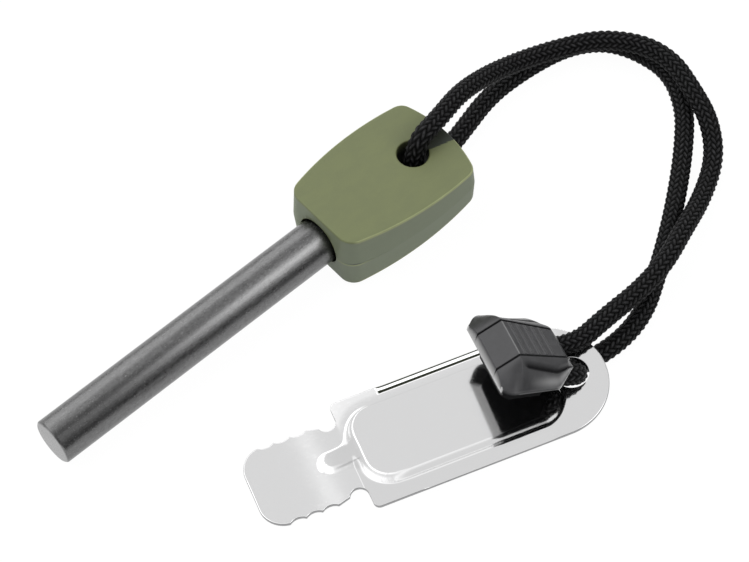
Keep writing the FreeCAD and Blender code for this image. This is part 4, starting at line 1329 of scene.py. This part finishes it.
def clip_material(sizes):
    """Black nylon: satin, scuffed in patches, dull with painted shade underneath and in its grooves, painted
    highlights.
    """
    finish = Finish(bpy.data.materials.new("black nylon"))
    local = finish.coordinates(clip_place())
    grain = finish.noise(local, 6.0, 3)
    rubbed = finish.noise(local, 0.5, 4, 0.6).ramp(0.4, 0.7)
    dim = finish.attribute("dim")
    black = tuple(sizes.clip_colour)
    colour = finish.mix(rubbed * 0.5, black, scaled(black, 1.5))
    # Painted shade: darkens the underside and the grooves
    colour = finish.mix(dim, colour, scaled(black, 0.5))
    # Painted highlights: lighten exposed edges, the ridge and the wings
    colour = finish.mix(finish.attribute("rubbed"), colour, (0.42, 0.42, 0.42))
    rough = (0.26 + rubbed * 0.12 + grain * 0.06) * (1 - dim) + dim * 0.9
    return finish.surface(grain + rubbed, 0.015, 0.3, Base_Color=colour, Roughness=rough, Metallic=dim)


# Stage
def studio_rays(finish):
    """1 for rays from the camera, off a gloss or through glass, and 0 for light on a matt surface."""
    seen = finish.ray("Camera").math("MAXIMUM", finish.ray("Glossy"))
    return seen.math("MAXIMUM", finish.ray("Transmission"))


def add_floor():
    """A white table. A gloss sees it fall off to the dark room around it, and the camera sees plain white."""
    reach = TABLE_HALF_SIZE
    corners = [(-reach, -reach, 0), (reach, -reach, 0), (reach, reach, 0), (-reach, reach, 0)]
    floor = mesh_object("floor", corners, [(0, 1, 2, 3)])
    finish = Finish(bpy.data.materials.new("white table"))
    place = finish.node("TexCoord", output="Object")
    distance = finish.node("VectorMath", {"operation": "LENGTH"}, {0: place}, "Value")
    camera = finish.ray("Camera")
    far = (1 - distance.ramp(*TABLE_REACH)) * (1 - ROOM_LEVEL) + ROOM_LEVEL
    level = far * (1 - camera) + camera * TABLE_LEVEL_SEEN
    paper = finish.node("BsdfDiffuse", None, {"Color": (TABLE_BOUNCE, TABLE_BOUNCE, TABLE_BOUNCE, 1)})
    glow = finish.node("Emission", None, {"Color": (1, 1, 1, 1), "Strength": level})
    share = studio_rays(finish) * TABLE_GLOW_IN_GLOSS + camera * (TABLE_GLOW_SEEN - TABLE_GLOW_IN_GLOSS)
    shader = finish.node("MixShader", None, {0: share, 1: paper, 2: glow})
    finish.node("OutputMaterial", None, {"Surface": shader})
    floor.data.materials.append(finish.owner)


def add_lights():
    for name, place, width, power in LAMPS:
        lamp = bpy.data.lights.new(name, "AREA")
        lamp.size = width
        lamp.energy = power
        made = bpy.data.objects.new(name, lamp)
        made.location = place
        made.rotation_euler = (Vector(LAMP_TARGET) - Vector(place)).to_track_quat("-Z", "Y").to_euler()
        made.visible_glossy = False
        bpy.context.scene.collection.objects.link(made)


def add_world():
    """Even light on matt surfaces. A gloss sees white screens over a dark horizon, and one grey screen."""
    finish = Finish(bpy.data.worlds.new("studio"))
    heading = finish.node("TexCoord", output="Generated")
    height = finish.axis(heading, "Z")
    depth = finish.axis(heading, "Y")

    def patch(centre, edge):
        towards = finish.node("VectorMath", {"operation": "DOT_PRODUCT"}, {0: heading, 1: centre}, "Value")
        return towards.ramp(*edge)

    wall = depth.ramp(*FAR_EDGE) * (FAR_LEVEL - NEAR_LEVEL) + NEAR_LEVEL
    wall = wall + patch(SOFTBOX_HEADING, SOFTBOX_EDGE) * SOFTBOX_LEVEL
    wall = wall + patch(LEFT_SCREEN_HEADING, LEFT_SCREEN_EDGE) * LEFT_SCREEN_LEVEL
    card = (depth * -1).ramp(*BLACK_CARD_DEPTH) * (1 - height.ramp(*BLACK_CARD_HEIGHT))
    wall = wall * (1 - card * BLACK_CARD_SHARE)
    screens = height.ramp(*HORIZON_DARK) * (wall - ROOM_LEVEL) + ROOM_LEVEL
    grey = patch(GREY_SCREEN_HEADING, GREY_SCREEN_EDGE)
    gloss = screens * (1 - grey) + grey * GREY_SCREEN_LEVEL
    camera = finish.ray("Camera")
    seen = studio_rays(finish)
    strength = gloss * (seen - camera) + camera + (1 - seen) * WORLD_LEVEL
    light = finish.node("Background", None, {"Color": (1, 1, 1, 1), "Strength": strength})
    finish.node("OutputWorld", None, {"Surface": light})
    bpy.context.scene.world = finish.owner


def add_camera():
    camera = bpy.data.cameras.new("camera")
    camera.sensor_width = CAMERA_SENSOR
    camera.lens = CAMERA_LENS
    camera.clip_start = 0.01
    holder = bpy.data.objects.new("camera", camera)
    place = Vector(CAMERA_PLACE) * MM
    aim = (Vector(CAMERA_TARGET) * MM - place).to_track_quat("-Z", "Y").to_matrix()
    roll = Matrix.Rotation(math.radians(CAMERA_ROLL), 3, "Z")
    holder.matrix_world = Matrix.Translation(place) @ (aim @ roll).to_4x4()
    bpy.context.scene.collection.objects.link(holder)
    bpy.context.scene.camera = holder


def length(name, description, default):
    return bpy.props.FloatProperty(name=name, description=description, default=default, unit="LENGTH")


def colour(name, description, default):
    return bpy.props.FloatVectorProperty(name=name, description=description, default=default, subtype="COLOR")


class StarterSizes(bpy.types.PropertyGroup):
    """The lengths and the colours that the operators read"""
    rod_diameter: length("Rod diameter", "Diameter of the ferro rod", 0.0095)
    rod_exposed: length("Rod in view", "Length of the rod outside the handle", 0.0671)
    handle_length: length("Handle length", "Length of the handle's straight sides", 0.03095)
    handle_width: length("Handle width", "Width of the handle at its rear", 0.0223)
    handle_front_thickness: length("Front thickness", "Thickness of the handle at the rod", 0.015)
    handle_rear_thickness: length("Rear thickness", "Thickness of the handle at its rear", 0.0094)
    striker_length: length("Striker length", "Length of the striker without its tab", 0.052)
    striker_width: length("Striker width", "Width of the striker's body", 0.0242)
    cord_diameter: length("Cord diameter", "Diameter of the braided lanyard", 0.004)
    clip_length: length("Clip length", "Length of the cord end clip", 0.017)
    cord_colour: colour("Cord", "Colour of the lanyard", (0.011, 0.011, 0.0115))
    handle_colour: colour("Handle", "Colour of the handle", (0.136, 0.151, 0.063))
    clip_colour: colour("Clip", "Colour of the clip", (0.03, 0.03, 0.032))


class FIRESTARTER_OT_rod(bpy.types.Operator):
    """Add the ferro rod"""
    bl_idname = "firestarter.add_rod"
    bl_label = "Rod"

    def execute(self, context):
        sizes = context.scene.starter_sizes
        finish_piece(ferro_rod(sizes), "handle", rod_material(sizes), "ferro_rod")
        return {"FINISHED"}


class FIRESTARTER_OT_handle(bpy.types.Operator):
    """Add the two shells of the handle"""
    bl_idname = "firestarter.add_handle"
    bl_label = "Handle"

    def execute(self, context):
        sizes = context.scene.starter_sizes
        material = handle_material(sizes)
        for name, side in (("handle_upper", 1), ("handle_lower", -1)):
            finish_piece(handle_half(sizes, name, side), "handle", material, name + "_shell")
        return {"FINISHED"}


class FIRESTARTER_OT_striker(bpy.types.Operator):
    """Add the pressed steel striker"""
    bl_idname = "firestarter.add_striker"
    bl_label = "Striker"

    def execute(self, context):
        sizes = context.scene.starter_sizes
        finish_piece(striker_plate(sizes), "striker", striker_material(sizes), "striker_plate")
        return {"FINISHED"}


class FIRESTARTER_OT_clip(bpy.types.Operator):
    """Add the two shells of the cord's clip"""
    bl_idname = "firestarter.add_clip"
    bl_label = "Clip"

    def execute(self, context):
        sizes = context.scene.starter_sizes
        material = clip_material(sizes)
        finish_piece(clip_upper(sizes), "lanyard", material, "clip_upper_shell")
        finish_piece(clip_lower(sizes), "lanyard", material, "clip_lower_shell")
        return {"FINISHED"}


class FIRESTARTER_OT_lanyard(bpy.types.Operator):
    """Add the braided lanyard cord"""
    bl_idname = "firestarter.add_lanyard"
    bl_label = "Lanyard"

    def execute(self, context):
        sizes = context.scene.starter_sizes
        cord, path, length = lanyard_cord(sizes)
        finish_piece(cord, "lanyard", cord_material(sizes), "lanyard_cord")
        return {"FINISHED"}


class FIRESTARTER_OT_stage(bpy.types.Operator):
    """Add the floor, the lights, the world and the camera"""
    bl_idname = "firestarter.add_stage"
    bl_label = "Stage"

    def execute(self, context):
        add_floor()
        add_lights()
        add_world()
        add_camera()
        context.scene.view_settings.view_transform = "Standard"
        return {"FINISHED"}


class FIRESTARTER_PT_panel(bpy.types.Panel):
    """Lists the pieces of the fire starter"""
    bl_label = "Fire Starter"
    bl_idname = "FIRESTARTER_PT_panel"
    bl_space_type = "VIEW_3D"
    bl_region_type = "UI"
    bl_category = "Fire Starter"

    def draw(self, context):
        for name in StarterSizes.__annotations__:
            self.layout.prop(context.scene.starter_sizes, name)
        for operator in OPERATORS:
            self.layout.operator(operator.bl_idname)


OPERATORS = (
    FIRESTARTER_OT_rod,
    FIRESTARTER_OT_handle,
    FIRESTARTER_OT_striker,
    FIRESTARTER_OT_clip,
    FIRESTARTER_OT_lanyard,
    FIRESTARTER_OT_stage,
)
CLASSES = (StarterSizes, FIRESTARTER_PT_panel) + OPERATORS


def register():
    for group in CLASSES:
        bpy.utils.register_class(group)
    bpy.types.Scene.starter_sizes = bpy.props.PointerProperty(type=StarterSizes)


def unregister():
    del bpy.types.Scene.starter_sizes
    for group in reversed(CLASSES):
        bpy.utils.unregister_class(group)


def main():
    register()
    bpy.ops.firestarter.add_stage()
    bpy.ops.firestarter.add_rod()
    bpy.ops.firestarter.add_handle()
    bpy.ops.firestarter.add_striker()
    bpy.ops.firestarter.add_clip()
    bpy.ops.firestarter.add_lanyard()


if __name__ == "__main__":
    main()
